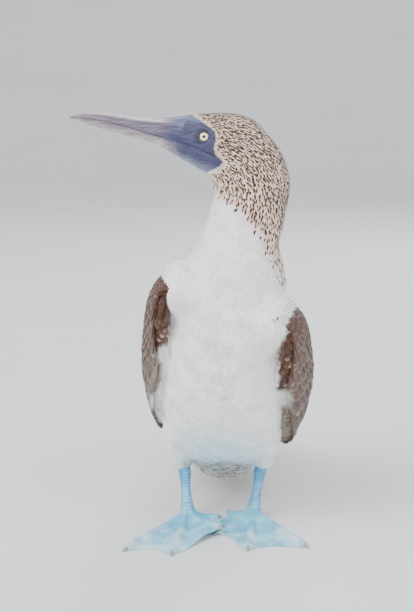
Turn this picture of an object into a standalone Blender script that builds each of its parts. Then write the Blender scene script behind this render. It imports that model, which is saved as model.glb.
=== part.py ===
"""A blue-footed booby, life size: a standing male with its head turned to its right.

Metres, +Z up. The bird faces -Y, its own left is +X, and its feet and tail rest on z = 0.
"""

import math
import random

import bmesh
import bpy
from mathutils import Matrix, Vector

MM = 0.001
GAP = 0.3 * MM  # left between neighbouring pieces

# Whole bird
BILL_LENGTH = 105 * MM  # forehead feathers to tip
TRUNK_ROLL = math.radians(4.4)  # the left shoulder hangs lower
ROLL_HEIGHT = 70 * MM  # level of the hips, about which the trunk rolls
HIPS_X = -3 * MM
SHIFT = (21.0 * MM, -90.0 * MM, 0.0)  # brings the middle of the whole bird's box over the origin

# Trunk, from the root of the tail to the base of the neck. Each section runs from the belly line to the
# back line, in millimetres: belly y, belly z, back y, back z, half width
TRUNK = [
    (131, 19, 143, 46, 21),
    (98, 18, 127, 76, 36),
    (58, 21, 106, 110, 49),
    (16, 42, 80, 141, 57),
    (-24, 63, 54, 168, 60),
    (-60, 88, 30, 193, 61),
    (-86, 122, 8, 217, 60),
    (-100, 160, -11, 240, 57),
    (-107, 198, -25, 262, 53),
    (-109, 230, -34, 282, 48),
]
# Neck, upwards: centre x, y, z, half depth, half width in millimetres, then the way that it faces, turned
# to the bird's right, and how far that way points below the level, in degrees
NECK = [
    (13, -72, 273, 41, 41, 18, 26),
    (19.5, -69, 289, 38.5, 39, 38, 16),
    (25, -68, 308, 36, 34, 62, 8),
    (29, -67.5, 327, 34, 29.5, 80, 8),
    (25.5, -68, 343, 33.5, 26.5, 85, 16),
    (20, -68.5, 352, 33, 25.5, 85, 24),
    (15, -69, 358, 31.5, 24.5, 85, 32),
    (8, -70, 366, 28, 22, 85, 44),
    (0, -71, 371, 20, 16, 85, 58),
]
TORSO_TOP = 9.35  # where the trunk and neck are parted, counted in sections
NECK_TOP = 13.15

# Head, in its own frame: forward to the bill tip, up, and to the head's own left
HEAD_CENTRE = Vector((-12.2, -71.3, 371.8)) * MM  # between the eyes
HEAD_YAW = math.radians(85)  # turned to the bird's right
# From the back of the head to the bill tip, in millimetres: forward, top, bottom, half width
HEAD = [
    (-54, 0, -8, 5),
    (-51, 7, -14, 12),
    (-44, 13.5, -22, 18),
    (-36, 17.5, -29, 21.5),
    (-26, 20, -34, 24),
    (-13, 20.6, -35.5, 23.6),
    (0, 19.8, -30.4, 20.5),
    (10, 19.2, -24.8, 16.5),
    (20, 17.5, -19, 13.3),
    (30, 16.4, -13, 11),
    (40, 16.1, -7.2, 9.4),
    (55, 16.6, -2, 7.6),
    (70, 18.3, 1.8, 6.3),
    (85, 20.2, 5.9, 5),
    (100, 20.9, 10.3, 3.6),
    (108, 19.9, 13.2, 2.6),
    (113, 18.0, 15, 1.5),
    (115.6, 16.6, 15.4, 0.6),
]
# The line of the mouth and the edge of the bare chin, forward and up in millimetres
MOUTH = [
    (118, 16.6),
    (107, 17.0),
    (95, 15.0),
    (80, 12.3),
    (65, 8.4),
    (50, 3.7),
    (40, 0.9),
    (30, -1.7),
    (15.5, -5.5),
    (5.6, -9.5),
    (-4.3, -13.4),
    (-12.3, -17),
    (-16.5, -21),
    (-13, -26),
    (-7.6, -28.4),
    (-1.8, -31),
]
CHIN_DEPTH = -48 * MM
BILL_ROOT_TOP = (11.5 * MM, 20 * MM)  # where the horny bill ends on the forehead
BILL_ROOT_MOUTH = (23.5 * MM, -3 * MM)
EYE_RADIUS = 8 * MM
EYE_OUT = 13.6 * MM  # centre of each eye from the middle of the head
LID_RADIUS = 5.4 * MM
LID_THICKNESS = 1.1 * MM
EYE_FORWARD_TURN = math.radians(16)

# Legs
SOLE_JOINT_Z = 13.5 * MM
FOOT_RIGHT = Vector((-35, -3, 0)) * MM
FOOT_LEFT = Vector((29, 5, 0)) * MM


def smooth(rows, place):
    """A row read at a fractional place on the smooth curve through rows of numbers or vectors."""
    last = len(rows) - 1
    index = min(max(int(place), 0), last - 1)
    part = min(max(place - index, 0.0), 1.0)
    before = rows[max(index - 1, 0)]
    start = rows[index]
    end = rows[index + 1]
    after = rows[min(index + 2, last)]
    values = []
    for a, b, c, d in zip(before, start, end, after):
        bend = (2 * a - 5 * b + 4 * c - d) * part + (3 * b - a - 3 * c + d) * part * part
        values.append(0.5 * (2 * b + (c - a) * part + bend * part))
    return values


def ramp(low, high, value):
    part = min(max((value - low) / (high - low), 0.0), 1.0)
    return part * part * (3 - 2 * part)


def object_from(name, bm):
    """Closes the normals of a bmesh and makes it an object."""
    bmesh.ops.recalc_face_normals(bm, faces=bm.faces)
    mesh = bpy.data.meshes.new(name)
    bm.to_mesh(mesh)
    bm.free()
    made = bpy.data.objects.new(name, mesh)
    bpy.context.scene.collection.objects.link(made)
    return made


def loft(name, rings):
    """A closed skin drawn over rings of points, each ring extruded from the one before."""
    bm = bmesh.new()
    ring = [bm.verts.new(point) for point in rings[0]]
    edges = [bm.edges.new((a, b)) for a, b in zip(ring, ring[1:] + ring[:1])]
    for points in rings[1:]:
        made = bmesh.ops.extrude_edge_only(bm, edges=edges)["geom"]
        new = {item for item in made if isinstance(item, bmesh.types.BMVert)}
        ring = [next(e.other_vert(v) for e in v.link_edges if e.other_vert(v) in new) for v in ring]
        for vertex, point in zip(ring, points):
            vertex.co = point
        edges = [e for e in made if isinstance(e, bmesh.types.BMEdge) and set(e.verts) <= new]
    bmesh.ops.holes_fill(bm, edges=[e for e in bm.edges if e.is_boundary], sides=0)
    bmesh.ops.triangulate(bm, faces=bm.faces)
    return object_from(name, bm)


def keep_largest(made):
    """Leaves only the largest closed surface of an object."""
    bm = bmesh.new()
    bm.from_mesh(made.data)
    todo = set(bm.verts)
    shells = []
    while todo:
        shell = set()
        edge = [todo.pop()]
        while edge:
            vertex = edge.pop()
            shell.add(vertex)
            for link in vertex.link_edges:
                other = link.other_vert(vertex)
                if other in todo:
                    todo.remove(other)
                    edge.append(other)
        shells.append(shell)

    def reach(shell):
        spans = [[v.co[axis] for v in shell] for axis in range(3)]
        return sum(max(span) - min(span) for span in spans)

    largest = max(shells, key=reach)
    bmesh.ops.delete(bm, geom=[v for v in bm.verts if v not in largest], context="VERTS")
    bm.to_mesh(made.data)
    bm.free()


def bake_modifiers(made):
    """Replaces an object's mesh by what its modifiers make of it."""
    graph = bpy.context.evaluated_depsgraph_get()
    result = bpy.data.meshes.new_from_object(made.evaluated_get(graph))
    made.modifiers.clear()
    made.data = result


def boolean(made, others, operation, solver="EXACT"):
    """Joins, cuts or intersects an object with others, which are used up."""
    tools = bpy.data.collections.new("tools")
    bpy.context.scene.collection.children.link(tools)
    for other in others:
        bpy.context.scene.collection.objects.unlink(other)
        tools.objects.link(other)
    modifier = made.modifiers.new(operation.lower(), "BOOLEAN")
    modifier.operation = operation
    modifier.solver = solver
    if operation == "INTERSECT":
        modifier.object = others[0]
    else:
        modifier.operand_type = "COLLECTION"
        modifier.collection = tools
    bake_modifiers(made)
    for other in others:
        bpy.data.objects.remove(other)
    bpy.data.collections.remove(tools)
    keep_largest(made)


def copy_of(made, name):
    twin = bpy.data.objects.new(name, made.data.copy())
    bpy.context.scene.collection.objects.link(twin)
    return twin


def swell(made, distance):
    """Moves every vertex outwards along its normal."""
    bm = bmesh.new()
    bm.from_mesh(made.data)
    bm.normal_update()
    for vertex, normal in [(v, v.normal.copy()) for v in bm.verts]:
        vertex.co += normal * distance
    bm.to_mesh(made.data)
    bm.free()


def part_off(made, point, normal):
    """Cuts an object with a plane, drops what lies ahead of it and closes the cut flat."""
    bm = bmesh.new()
    bm.from_mesh(made.data)
    bmesh.ops.bisect_plane(
        bm,
        geom=bm.verts[:] + bm.edges[:] + bm.faces[:],
        dist=1e-7,
        plane_co=point,
        plane_no=normal,
        clear_outer=True,
    )
    bmesh.ops.holes_fill(bm, edges=[e for e in bm.edges if e.is_boundary], sides=0)
    bmesh.ops.triangulate(bm, faces=bm.faces)
    bmesh.ops.recalc_face_normals(bm, faces=bm.faces)
    bm.to_mesh(made.data)
    bm.free()


# Trunk and neck


def rolled(point):
    """A point of the level trunk, as the bird's roll carries it."""
    x, y, z = point
    rise = z - ROLL_HEIGHT
    return Vector(
        (
            HIPS_X + x * math.cos(TRUNK_ROLL) + rise * math.sin(TRUNK_ROLL),
            y,
            ROLL_HEIGHT + rise * math.cos(TRUNK_ROLL) - x * math.sin(TRUNK_ROLL),
        )
    )


def trunk_section(row):
    """Middle, belly arm and left arm of a section of the trunk, as nine numbers."""
    belly_y, belly_z, back_y, back_z, half_width = (value * MM for value in row)
    belly = rolled((0, belly_y, belly_z))
    back = rolled((0, back_y, back_z))
    middle = (belly + back) / 2
    left = Vector((math.cos(TRUNK_ROLL), 0, -math.sin(TRUNK_ROLL))) * half_width
    return [*middle, *((belly - back) / 2), *left]


def facing(turn, down):
    """The way that points forward once turned to the bird's right and tipped down."""
    level = Vector((-math.sin(turn), -math.cos(turn), 0))
    return level * math.cos(down) - Vector((0, 0, math.sin(down)))


def neck_section(row):
    """Middle, front arm and left arm of a section of the neck, as nine numbers."""
    x, y, z, half_depth, half_width, turn, down = row
    turn, down = math.radians(turn), math.radians(down)
    left = Vector((math.cos(turn), -math.sin(turn), 0)) * half_width * MM
    return [x * MM, y * MM, z * MM, *(facing(turn, down) * half_depth * MM), *left]


SECTIONS = [trunk_section(row) for row in TRUNK] + [neck_section(row) for row in NECK]
AROUND = 24


def body_point(place, angle):
    """A point of the trunk or neck. The angle is 0 at the belly or throat and 90 degrees on the left."""
    values = smooth(SECTIONS, place)
    middle, front, left = Vector(values[0:3]), Vector(values[3:6]), Vector(values[6:9])
    return middle + front * math.cos(angle) + left * math.sin(angle)


def body_ring(place, count=AROUND):
    return [body_point(place, 2 * math.pi * i / count) for i in range(count)]


def body_plane(place):
    """Middle of the body there, and the way along it towards the head."""
    values = smooth(SECTIONS, place)
    along = Vector(values[3:6]).cross(Vector(values[6:9])).normalized()
    return Vector(values[0:3]), along


def make_body():
    """The torso and the neck, one skin parted by a thin flat cut, and the neck's top for the head."""
    steps = [*range(8), *(i / 2 for i in range(16, 2 * len(SECTIONS) - 1))]
    whole = loft("torso", [body_ring(place) for place in steps])
    neck = copy_of(whole, "neck")
    crown = copy_of(whole, "neck_top")
    point, along = body_plane(TORSO_TOP)
    part_off(whole, point - along * GAP / 2, along)
    part_off(neck, point + along * GAP / 2, -along)
    point, along = body_plane(NECK_TOP)
    part_off(neck, point - along * GAP / 2, along)
    part_off(crown, point + along * GAP / 2, -along)
    return whole, neck, crown


# Head, eyes and bill

HEAD_FRAME = Matrix.Translation(HEAD_CENTRE) @ Matrix(
    (
        (-math.sin(HEAD_YAW), math.cos(HEAD_YAW), 0, 0),
        (-math.cos(HEAD_YAW), -math.sin(HEAD_YAW), 0, 0),
        (0, 0, 1, 0),
        (0, 0, 0, 1),
    )
)


def head_point(forward, left, up):
    return HEAD_FRAME @ Vector((forward, left, up))


def head_ring(place, count=20):
    forward, top, bottom, half_width = (value * MM for value in smooth(HEAD, place))
    middle, half_height = (top + bottom) / 2, (top - bottom) / 2
    points = []
    for i in range(count):
        angle = 2 * math.pi * i / count
        points.append(
            head_point(forward, half_width * math.sin(angle), middle + half_height * math.cos(angle))
        )
    return points


def jaw_block(name, inset):
    """A block that holds the lower jaw: the mouth line above, the edge of the bare chin behind."""
    outline = [Vector((forward, up)) * MM for forward, up in MOUTH]
    outline += [Vector((MOUTH[-1][0] * MM, CHIN_DEPTH)), Vector((MOUTH[0][0] * MM, CHIN_DEPTH))]
    half = 40 * MM
    moved = []
    for before, here, after in zip(outline[-1:] + outline[:-1], outline, outline[1:] + outline[:1]):
        way = ((here - before).normalized() + (after - here).normalized()).normalized()
        moved.append(here + Vector((-way.y, way.x)) * inset)
    return loft(name, [[head_point(p.x, side, p.y) for p in moved] for side in (-half, half)])


def make_head(neck_top):
    """Head, upper bill and lower jaw from one skin, parted along the mouth and the root of the bill."""
    steps = [0, 1, 2, 3, 4, 5, 6, 6.5, 7, 7.5, 8, 8.5, 9, *range(10, len(HEAD))]
    head = loft("head", [head_ring(place) for place in steps])
    boolean(head, [neck_top], "UNION")
    lower = copy_of(head, "bill_lower")
    boolean(lower, [jaw_block("jaw", GAP)], "INTERSECT")
    boolean(head, [jaw_block("jaw", 0)], "DIFFERENCE")
    upper = copy_of(head, "bill_upper")
    root = head_point(BILL_ROOT_TOP[0], 0, BILL_ROOT_TOP[1])
    mouth = head_point(BILL_ROOT_MOUTH[0], 0, BILL_ROOT_MOUTH[1])
    across = head_point(0, 1, 0) - head_point(0, 0, 0)
    ahead = across.cross(mouth - root).normalized()
    if ahead.dot(head_point(1, 0, 0) - head_point(0, 0, 0)) < 0:
        ahead.negate()
    part_off(head, root - ahead * GAP / 2, ahead)
    part_off(upper, root + ahead * GAP / 2, -ahead)
    boolean(head, [lid(side) for side in (1, -1)], "UNION")
    boolean(head, [ball("socket", side, EYE_RADIUS + GAP) for side in (1, -1)], "DIFFERENCE")
    return head, upper, lower


def eye_frame(side):
    """Placed at an eye's centre, its Z pointing out of the head."""
    out = Matrix.Rotation(-side * (math.pi / 2 - EYE_FORWARD_TURN), 4, "Z")
    return HEAD_FRAME @ Matrix.Translation((0, side * EYE_OUT, 0)) @ out.inverted() @ Matrix.Rotation(
        math.pi / 2, 4, "Y"
    )


def ball(name, side, radius):
    bm = bmesh.new()
    bmesh.ops.create_uvsphere(bm, u_segments=14, v_segments=9, radius=radius)
    made = object_from(name, bm)
    made.data.transform(eye_frame(side))
    return made


def lid(side, around=14, through=5):
    """The rim of the eyelids, a ring round the ball of the eye."""
    height = math.sqrt(EYE_RADIUS**2 - LID_RADIUS**2)
    rings = []
    bm = bmesh.new()
    for i in range(around):
        turn = 2 * math.pi * i / around
        ring = []
        for j in range(through):
            angle = 2 * math.pi * j / through
            reach = LID_RADIUS + LID_THICKNESS * math.cos(angle)
            place = Vector((reach * math.cos(turn), reach * math.sin(turn), height + LID_THICKNESS * math.sin(angle)))
            ring.append(bm.verts.new(eye_frame(side) @ place))
        rings.append(ring)
    for ring, after in zip(rings, rings[1:] + rings[:1]):
        for j in range(through):
            k = (j + 1) % through
            bm.faces.new((ring[j], ring[k], after[k], after[j]))
    return object_from("lid", bm)


# Wings and tail, each wing's core given level and for the left side, in millimetres: x, y, z of the middle
# of its outer face, reach up, reach down, lean in degrees, how far its upper and its lower edge fall
# inwards, thickness
WING = [
    (43, -104, 236, 5, 7, 32, 1.2, 1.2, 6),
    (54, -94, 239, 15, 18, 31, 5, 6, 15),
    (66, -68, 226, 31, 34, 27, 13, 21, 26),
    (73, -33, 196, 44, 44, 24, 24, 33, 34),
    (76.5, 4, 165, 50, 46, 24, 28, 31, 34),
    (75, 40, 134, 50, 43, 24, 27, 26, 32),
    (68, 76, 107, 45, 37, 25, 22, 18, 27),
    (56, 113, 84, 36, 30, 27, 12, 12, 20),
    (43.5, 150, 66, 26, 23, 28, 7, 7, 12),
    (33, 188, 51, 17, 17, 26, 4, 4, 7),
    (24, 225, 39, 9.5, 10, 24, 2, 2, 4.5),
    (18, 262, 29, 2, 2.5, 22, 0.4, 0.4, 1.6),
]
# The right wrist is drawn up and the left one let down, by these heights at each section
WING_RAISE = {
    -1: (12, 12, 9, 6, 5, 4, 3, 2, 0, 0, 0, 0),
    1: (-9, -9, -6, -3, 0, 0, 0, 0, 0, 0, 0, 0),
}
WING_SLOPE = (34, 36, 40, 43, 43, 41, 37, 29, 23, 19, 17, 17)  # degrees that the wing falls rearwards
ACROSS = 8


def wing_section(row, raised, slope):
    """Middle, reaches, lean, falls, thickness and slope of a wing's section, in metres and radians."""
    x, y, z, up, down, lean, fall_up, fall_down, thickness = row
    sizes = [up * MM, down * MM, math.radians(lean), fall_up * MM, fall_down * MM, thickness * MM]
    return [x * MM, y * MM, (z + raised) * MM, *sizes, math.radians(slope)]


WING_ROWS = {
    side: [wing_section(*row) for row in zip(WING, WING_RAISE[side], WING_SLOPE)] for side in (1, -1)
}


def wing_place(side, place):
    """Numbers of a wing's section, with its way up the chord and its way out of the body."""
    values = smooth(WING_ROWS[side], place)
    steep = Vector((0, math.sin(values[9]), math.cos(values[9])))
    across = Vector((1, 0, 0))
    lean = values[5]
    up = steep * math.cos(lean) - across * math.sin(lean)
    return values, up, across * math.cos(lean) + steep * math.sin(lean)


def sided(point, side):
    """Takes a point of the level left side to its own side and rolls it with the trunk."""
    return rolled((side * point.x, point.y, point.z))


def wing_point(side, place, chord, rise=0.0):
    """A point over a wing's outer face. The chord is 1 at its upper edge and -1 at its lower."""
    values, up, out = wing_place(side, place)
    reach, fall = (values[3], values[6]) if chord > 0 else (values[4], values[7])
    return sided(Vector(values[0:3]) + up * reach * chord + out * (rise - fall * chord * chord), side)


WING_STEPS = [0, 0.5, 1, 1.5, 2, 3, 4, 5, 6, 7, 8, 9, 10]


def wing_core(name, side, grow=0.0):
    """The body of a folded wing, under its feathers, or a thicker one to keep its neighbours clear."""
    rings = []
    for place in WING_STEPS:
        thickness = smooth(WING_ROWS[side], place)[8]
        chords = [1 - 2 * i / ACROSS for i in range(ACROSS + 1)]
        outer = [wing_point(side, place, chord, grow) for chord in chords]
        inner = [wing_point(side, place, chord, -thickness) for chord in reversed(chords[1:-1:2])]
        rings.append(outer + inner)
    return loft(name, rings)


# Feathers. The width of one along its length, as shares
VANE_SHAPE = [(0, 0.7), (0.45, 0.98), (0.8, 0.86), (1, 0.16)]
VANE_ROOT_RISE = -2.4 * MM
VANE_THICKNESS = 0.7 * MM
VANE_RIDGE = 0.25 * MM
# Tiers of a wing: how many, roots from the first to the last (place, chord), tips likewise, half width in
# millimetres, rise of the tips over the wing in millimetres
WING_TIERS = [
    (7, (1.2, -0.78), (1.5, 0.72), (3.15, -0.78), (3.5, 0.7), 11.5, 2.8),
    (8, (2.7, -0.82), (3.1, 0.78), (4.9, -0.8), (5.5, 0.76), 12.0, 2.8),
    (8, (4.5, -0.82), (5.0, 0.8), (6.7, -0.84), (7.9, 0.78), 11.0, 2.8),
]
SCAPULARS = (5, (1.8, 0.5), (4.2, 0.7), (4.4, 0.66), (7.3, 0.92), 13.0, 4.2)
PRIMARIES = (8, (6.2, -0.72), (6.8, 0.6), (11.1, -0.3), (8.3, 0.72), 6.4, 1.8)


def vane(name, at, root, tip, half_width, rise, tilt):
    """One feather, a thin blade over the surface that the function at gives, both faces split alike."""
    bm = bmesh.new()
    rings = []
    for along, share in VANE_SHAPE:
        place = root[0] + (tip[0] - root[0]) * along
        across = root[1] + (tip[1] - root[1]) * along
        lift = VANE_ROOT_RISE + (rise - VANE_ROOT_RISE) * along**0.8
        thickness = VANE_THICKNESS * (1.8 - 0.8 * min(2 * along, 1))
        ring = []
        for aside, under in ((-1, 0), (0, 0), (1, 0), (1, 1), (0, 1), (-1, 1)):
            ridge = VANE_RIDGE if aside == 0 and not under else 0.0
            height = lift + tilt * aside * share + ridge - under * thickness
            ring.append(bm.verts.new(at(place, across, aside * share * half_width, height)))
        rings.append(ring)
    for near, far in zip(rings, rings[1:]):
        for i in range(6):
            j = (i + 1) % 6
            if i < 3:
                bm.faces.new((near[i], near[j], far[j]))
                bm.faces.new((near[i], far[j], far[i]))
            else:
                bm.faces.new((near[i], near[j], far[i]))
                bm.faces.new((near[j], far[j], far[i]))
    for ring in (rings[0], rings[-1]):
        bm.faces.new((ring[0], ring[1], ring[4], ring[5]))
        bm.faces.new((ring[1], ring[2], ring[3], ring[4]))
    bmesh.ops.triangulate(bm, faces=[face for face in bm.faces if len(face.verts) > 3])
    return object_from(name, bm)


def tier(name, at, spec, tilt, draw):
    """A row of feathers, each laid a little over the next."""
    count, first_root, last_root, first_tip, last_tip, half_width, rise = spec
    made = []
    for i in range(count):
        share = i / (count - 1)
        root = [a + (b - a) * share for a, b in zip(first_root, last_root)]
        tip = [a + (b - a) * share for a, b in zip(first_tip, last_tip)]
        tip[0] += draw.uniform(-0.06, 0.06)
        made.append(vane(name, at, root, tip, half_width * MM, rise * MM, tilt))
    return made


def wing_feathers(side):
    draw = random.Random(7 + side)

    def at(place, chord, aside, rise):
        values = smooth(WING_ROWS[side], place)
        reach = values[3] if chord > 0 else values[4]
        return wing_point(side, place, chord + aside / max(reach, 3 * MM), rise)

    made = []
    for spec in (*WING_TIERS, SCAPULARS, PRIMARIES):
        made += tier("vane", at, spec, -1.0 * MM, draw)
    return made


# Tail, in millimetres: y, z of its middle, half width, half thickness
TAIL = [
    (86, 66, 12, 9),
    (110, 57, 18, 8),
    (135, 49, 22, 6.5),
    (165, 39.5, 24.5, 5),
    (195, 30.5, 25, 3.8),
    (225, 21.5, 22.5, 3),
    (250, 14, 16.5, 2.4),
    (272, 7, 9, 2),
    (291, 0.6, 2, 1.2),
]
TAIL_ARCH = 5 * MM


def tail_point(place, across, rise=0.0):
    """A point over the tail's upper face. Across is -1 to 1 from the right edge to the left."""
    y, z, half_width, half_thickness = (value * MM for value in smooth(TAIL, place))
    arch = TAIL_ARCH * half_width / (25 * MM)
    bow = math.sqrt(max(1 - across * across, 0))
    return Vector((across * half_width, y, z + rise + half_thickness * bow - arch * across * across))


def tail_core(name, grow=0.0, slim=1.0):
    """The tail as one plain form, or with its end slimmed to carry feathers."""
    rings = []
    for step in range(2 * len(TAIL) - 1):
        place = step / 2
        half_width, half_thickness = (value * MM for value in smooth(TAIL, place)[2:])
        narrow = 1 - (1 - slim) * ramp(2.5, 5.5, place)
        ring = []
        for i in range(14):
            turn = 2 * math.pi * i / 14
            across = math.cos(turn) * (narrow + grow / half_width)
            top = tail_point(place, max(min(across, 1), -1))
            top.x = across * half_width
            bow = abs(math.sin(turn))
            below = 2 * half_thickness * bow * narrow + grow if i > 7 else -grow * bow
            ring.append(top - Vector((0, 0, below)))
        rings.append(ring)
    return loft(name, rings)


# Tail feathers, from the middle pair outwards: across at the root and the tip, place of the tip
TAIL_FEATHERS = [
    (0.1, 0.24, 7.95),
    (0.28, 0.5, 7.3),
    (0.44, 0.72, 6.7),
    (0.58, 0.84, 6.1),
    (0.7, 0.9, 5.6),
    (0.8, 0.94, 5.1),
]
TAIL_FEATHER_WIDTH = 7.0  # half width in millimetres


def tail_feathers():
    def at(place, across, aside, rise):
        half_width = smooth(TAIL, min(place, 5.6))[2] * MM
        narrow = smooth(TAIL, place)[2] * MM
        point = tail_point(place, 0, rise)
        reach = across * narrow + aside
        return point + Vector((reach, 0, -TAIL_ARCH * min(reach / half_width, 1.2) ** 2))

    made = []
    for order, (root, tip, end) in enumerate(TAIL_FEATHERS):
        for side in (1, -1):
            start = (1.6 + 0.12 * order, side * root)
            rise = (1.7 - 0.22 * order - (0.35 if side < 0 else 0)) * MM
            made.append(
                vane("vane", at, start, (end, side * tip), TAIL_FEATHER_WIDTH * MM, rise, -side * 0.7 * MM)
            )
    return made


# Legs and feet, with toes from the outer one to the hind one: degrees from straight ahead towards the
# inner side, length in millimetres
TOES = {
    -1: [(-29, 96), (-3, 90), (42, 52), (105, 30)],
    1: [(-36, 86), (1, 80), (35, 54), (118, 27)],
}
TOE_HALF_WIDTH = 3.8 * MM
TOE_BOW = 4  # degrees by which the outer toe bows outwards
WEB = 2.2 * MM
CLAW_LENGTHS = (7.5, 8.5, 7.0, 5.5)
OVERLAP_LIFT = 5.4 * MM  # the right foot's inner toe lies on the left foot


def thigh(name, side, foot):
    """The feathered upper leg, from inside the flank to the ankle."""
    rows = [
        (side * 41, 10, 120, 15, 26),
        (side * 43, 8, 98, 17, 27),
        (side * 43.5, 8, 80, 16, 22),
        (side * 42.5, 10, 64, 13, 16),
        (side * 41, 11, 53, 10.5, 12),
        (side * 40, 11, 48.5, 8.6, 9.6),
    ]
    rings = []
    for step in range(2 * len(rows) - 1):
        x, y, z, half_width, half_depth = smooth(rows, step / 2)
        lean = (foot.x / MM - side * 34.5) * 0.6
        centre = Vector((x + lean, y + foot.y / MM, z)) * MM
        rings.append(
            [
                centre + Vector((half_width * math.cos(turn), half_depth * math.sin(turn), 0)) * MM
                for turn in (2 * math.pi * i / 14 for i in range(14))
            ]
        )
    return loft(name, rings)


def tarsus(name, side, foot):
    """The bare shank, from the ankle down to the knuckle of the foot."""
    lean = (foot.x / MM - side * 34.5) * 0.6
    ankle = Vector((side * 38.5 + lean, 11 + foot.y / MM, 48.5)) * MM - Vector((0, 0, GAP))
    knuckle = foot + Vector((0, 0, SOLE_JOINT_Z + GAP))
    sizes = [(0, 5.7, 6.8), (0.12, 5.9, 7.0), (0.3, 5.0, 6.0), (0.6, 4.8, 5.8), (0.85, 5.6, 6.4), (1, 6.3, 7)]
    rings = []
    for along, half_width, half_depth in sizes:
        centre = ankle.lerp(knuckle, along)
        rings.append(
            [
                centre + Vector((half_width * math.cos(turn), half_depth * math.sin(turn), 0)) * MM
                for turn in (2 * math.pi * i / 12 for i in range(12))
            ]
        )
    return loft(name, rings)


def foot_lines(side):
    """Lines of the foot's grid from the outer edge round to the hind toe: the toe each belongs to, or the
    two that the web lies between and how far across it is."""
    toes = TOES[side]
    lines = [("toe", 0, offset) for offset in (-1.25, -0.8, 0, 0.8)]
    for i in range(1, len(toes)):
        count = 4 if i != 3 else 3
        lines += [("web", i, j / count) for j in range(1, count)]
        lines += [("toe", i, offset) for offset in (-0.8, 0, 0.8)]
    lines.append(("toe", len(toes) - 1, 1.25))
    return lines


RINGS = [0.0, 0.1, 0.18, 0.3, 0.45, 0.6, 0.74, 0.87, 0.96, 1.0]


def foot_point(side, line, part):
    """Level place of a grid point relative to the joint, its height and how far it is lifted."""
    toes = TOES[side]
    kind, index, value = line

    def toe_angle(i, offset, radius):
        spread = math.asin(min(offset * TOE_HALF_WIDTH / max(radius, 1e-6), 0.9)) if offset > 0 else -math.asin(
            min(-offset * TOE_HALF_WIDTH / max(radius, 1e-6), 0.9)
        )
        room = math.radians(9 if 0 < i < 3 else 11)
        narrow = ramp(0, 25 * MM, radius)
        limit = room + (math.pi / 3) * (0 if abs(offset) < 1.1 else 1)
        bow = math.radians(TOE_BOW * math.sin(math.pi * min(part, 1))) if i == 0 else 0.0
        return math.radians(toes[i][0]) - bow + max(min(spread, limit), -limit)

    if kind == "toe":
        length = toes[index][1] * MM
        radius = max(length * part, 0.2 * MM)
        angle = toe_angle(index, value, radius)
        top = 11.5 * MM * (1 - part) + 4.2 * MM * part - 2.2 * MM * math.sin(math.pi * part)
        top = max(top, SOLE_JOINT_Z - 0.55 * radius)
        edge = abs(value)
        height = top if edge == 0 else top * (0.72 if edge < 1.1 else 0.3)
        tip_round = length * (0.02 * edge * edge if part > 0.9 else 0)
        radius -= tip_round
    else:
        before, after = toes[index - 1], toes[index]
        length = (before[1] * (1 - value) + after[1] * value) * MM
        dip = (0.11, 0.16, 0.22)[index - 1]
        length *= 1 - dip * math.sin(math.pi * value)
        radius = max(length * part, 0.2 * MM)
        start = toe_angle(index - 1, 0.8, radius)
        end = toe_angle(index, -0.8, radius)
        angle = start * (1 - value) + end * value
        height = WEB + 8 * MM * (1 - ramp(0, 0.42, part))
        height = max(height, (SOLE_JOINT_Z - 0.55 * radius) * 0.9)
        height -= 0.6 * MM * part
    if radius < 7 * MM:
        height = SOLE_JOINT_Z
    degrees = math.degrees(angle)
    lift = 0.0
    if side < 0:
        lift = OVERLAP_LIFT * ramp(0.25, 0.68, part) * ramp(2, 26, degrees) * (1 - ramp(58, 92, degrees))
    level = Vector((-side * math.sin(angle) * radius, -math.cos(angle) * radius, 0))
    return level, height, lift


def foot(name, side, joint):
    lines = foot_lines(side)
    bm = bmesh.new()
    grids = []
    for top in (True, False):
        grid = []
        for line in lines:
            row = []
            for part in RINGS[1:]:
                level, height, lift = foot_point(side, line, part)
                point = joint + level + Vector((0, 0, lift + (height if top else 0.0)))
                row.append(bm.verts.new(point))
            grid.append(row)
        grids.append(grid)
    upper, lower = grids
    hub_top = bm.verts.new(joint + Vector((0, 0, SOLE_JOINT_Z)))
    hub_low = bm.verts.new(joint)
    last = len(RINGS) - 2
    for grid, hub in ((upper, hub_top), (lower, hub_low)):
        for a, b in zip(grid, grid[1:]):
            bm.faces.new((hub, a[0], b[0]))
            for k in range(last):
                bm.faces.new((a[k], a[k + 1], b[k + 1], b[k]))
    for a, b, c, d in zip(upper, upper[1:], lower, lower[1:]):
        bm.faces.new((a[last], b[last], d[last], c[last]))
    for a, c in ((upper[0], lower[0]), (upper[-1], lower[-1])):
        for k in range(last):
            bm.faces.new((a[k], a[k + 1], c[k + 1], c[k]))
    bm.faces.new((hub_top, upper[0][0], lower[0][0], hub_low))
    bm.faces.new((hub_top, upper[-1][0], lower[-1][0], hub_low))
    bmesh.ops.triangulate(bm, faces=bm.faces)
    return object_from(name, bm)


def claw(name, side, joint, index):
    """A curved claw, its root a thin gap ahead of the toe."""
    line = ("toe", index, 0)
    level, height, lift = foot_point(side, line, 1.0)
    ahead = level.normalized()
    across = Vector((0, 0, 1)).cross(ahead)
    length = CLAW_LENGTHS[index] * MM
    root = joint + level + ahead * GAP + Vector((0, 0, lift))
    rings = []
    for along, size in ((0, 1), (0.4, 0.86), (0.75, 0.5), (1, 0.12)):
        centre = root + ahead * length * along + Vector((0, 0, (2.35 - 1.35 * along * along) * MM))
        half = 1.75 * MM * size
        rings.append(
            [
                centre + across * half * 0.9 * math.cos(turn) + Vector((0, 0, half * math.sin(turn)))
                for turn in (2 * math.pi * i / 6 for i in range(6))
            ]
        )
    return loft(name, rings)


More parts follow.
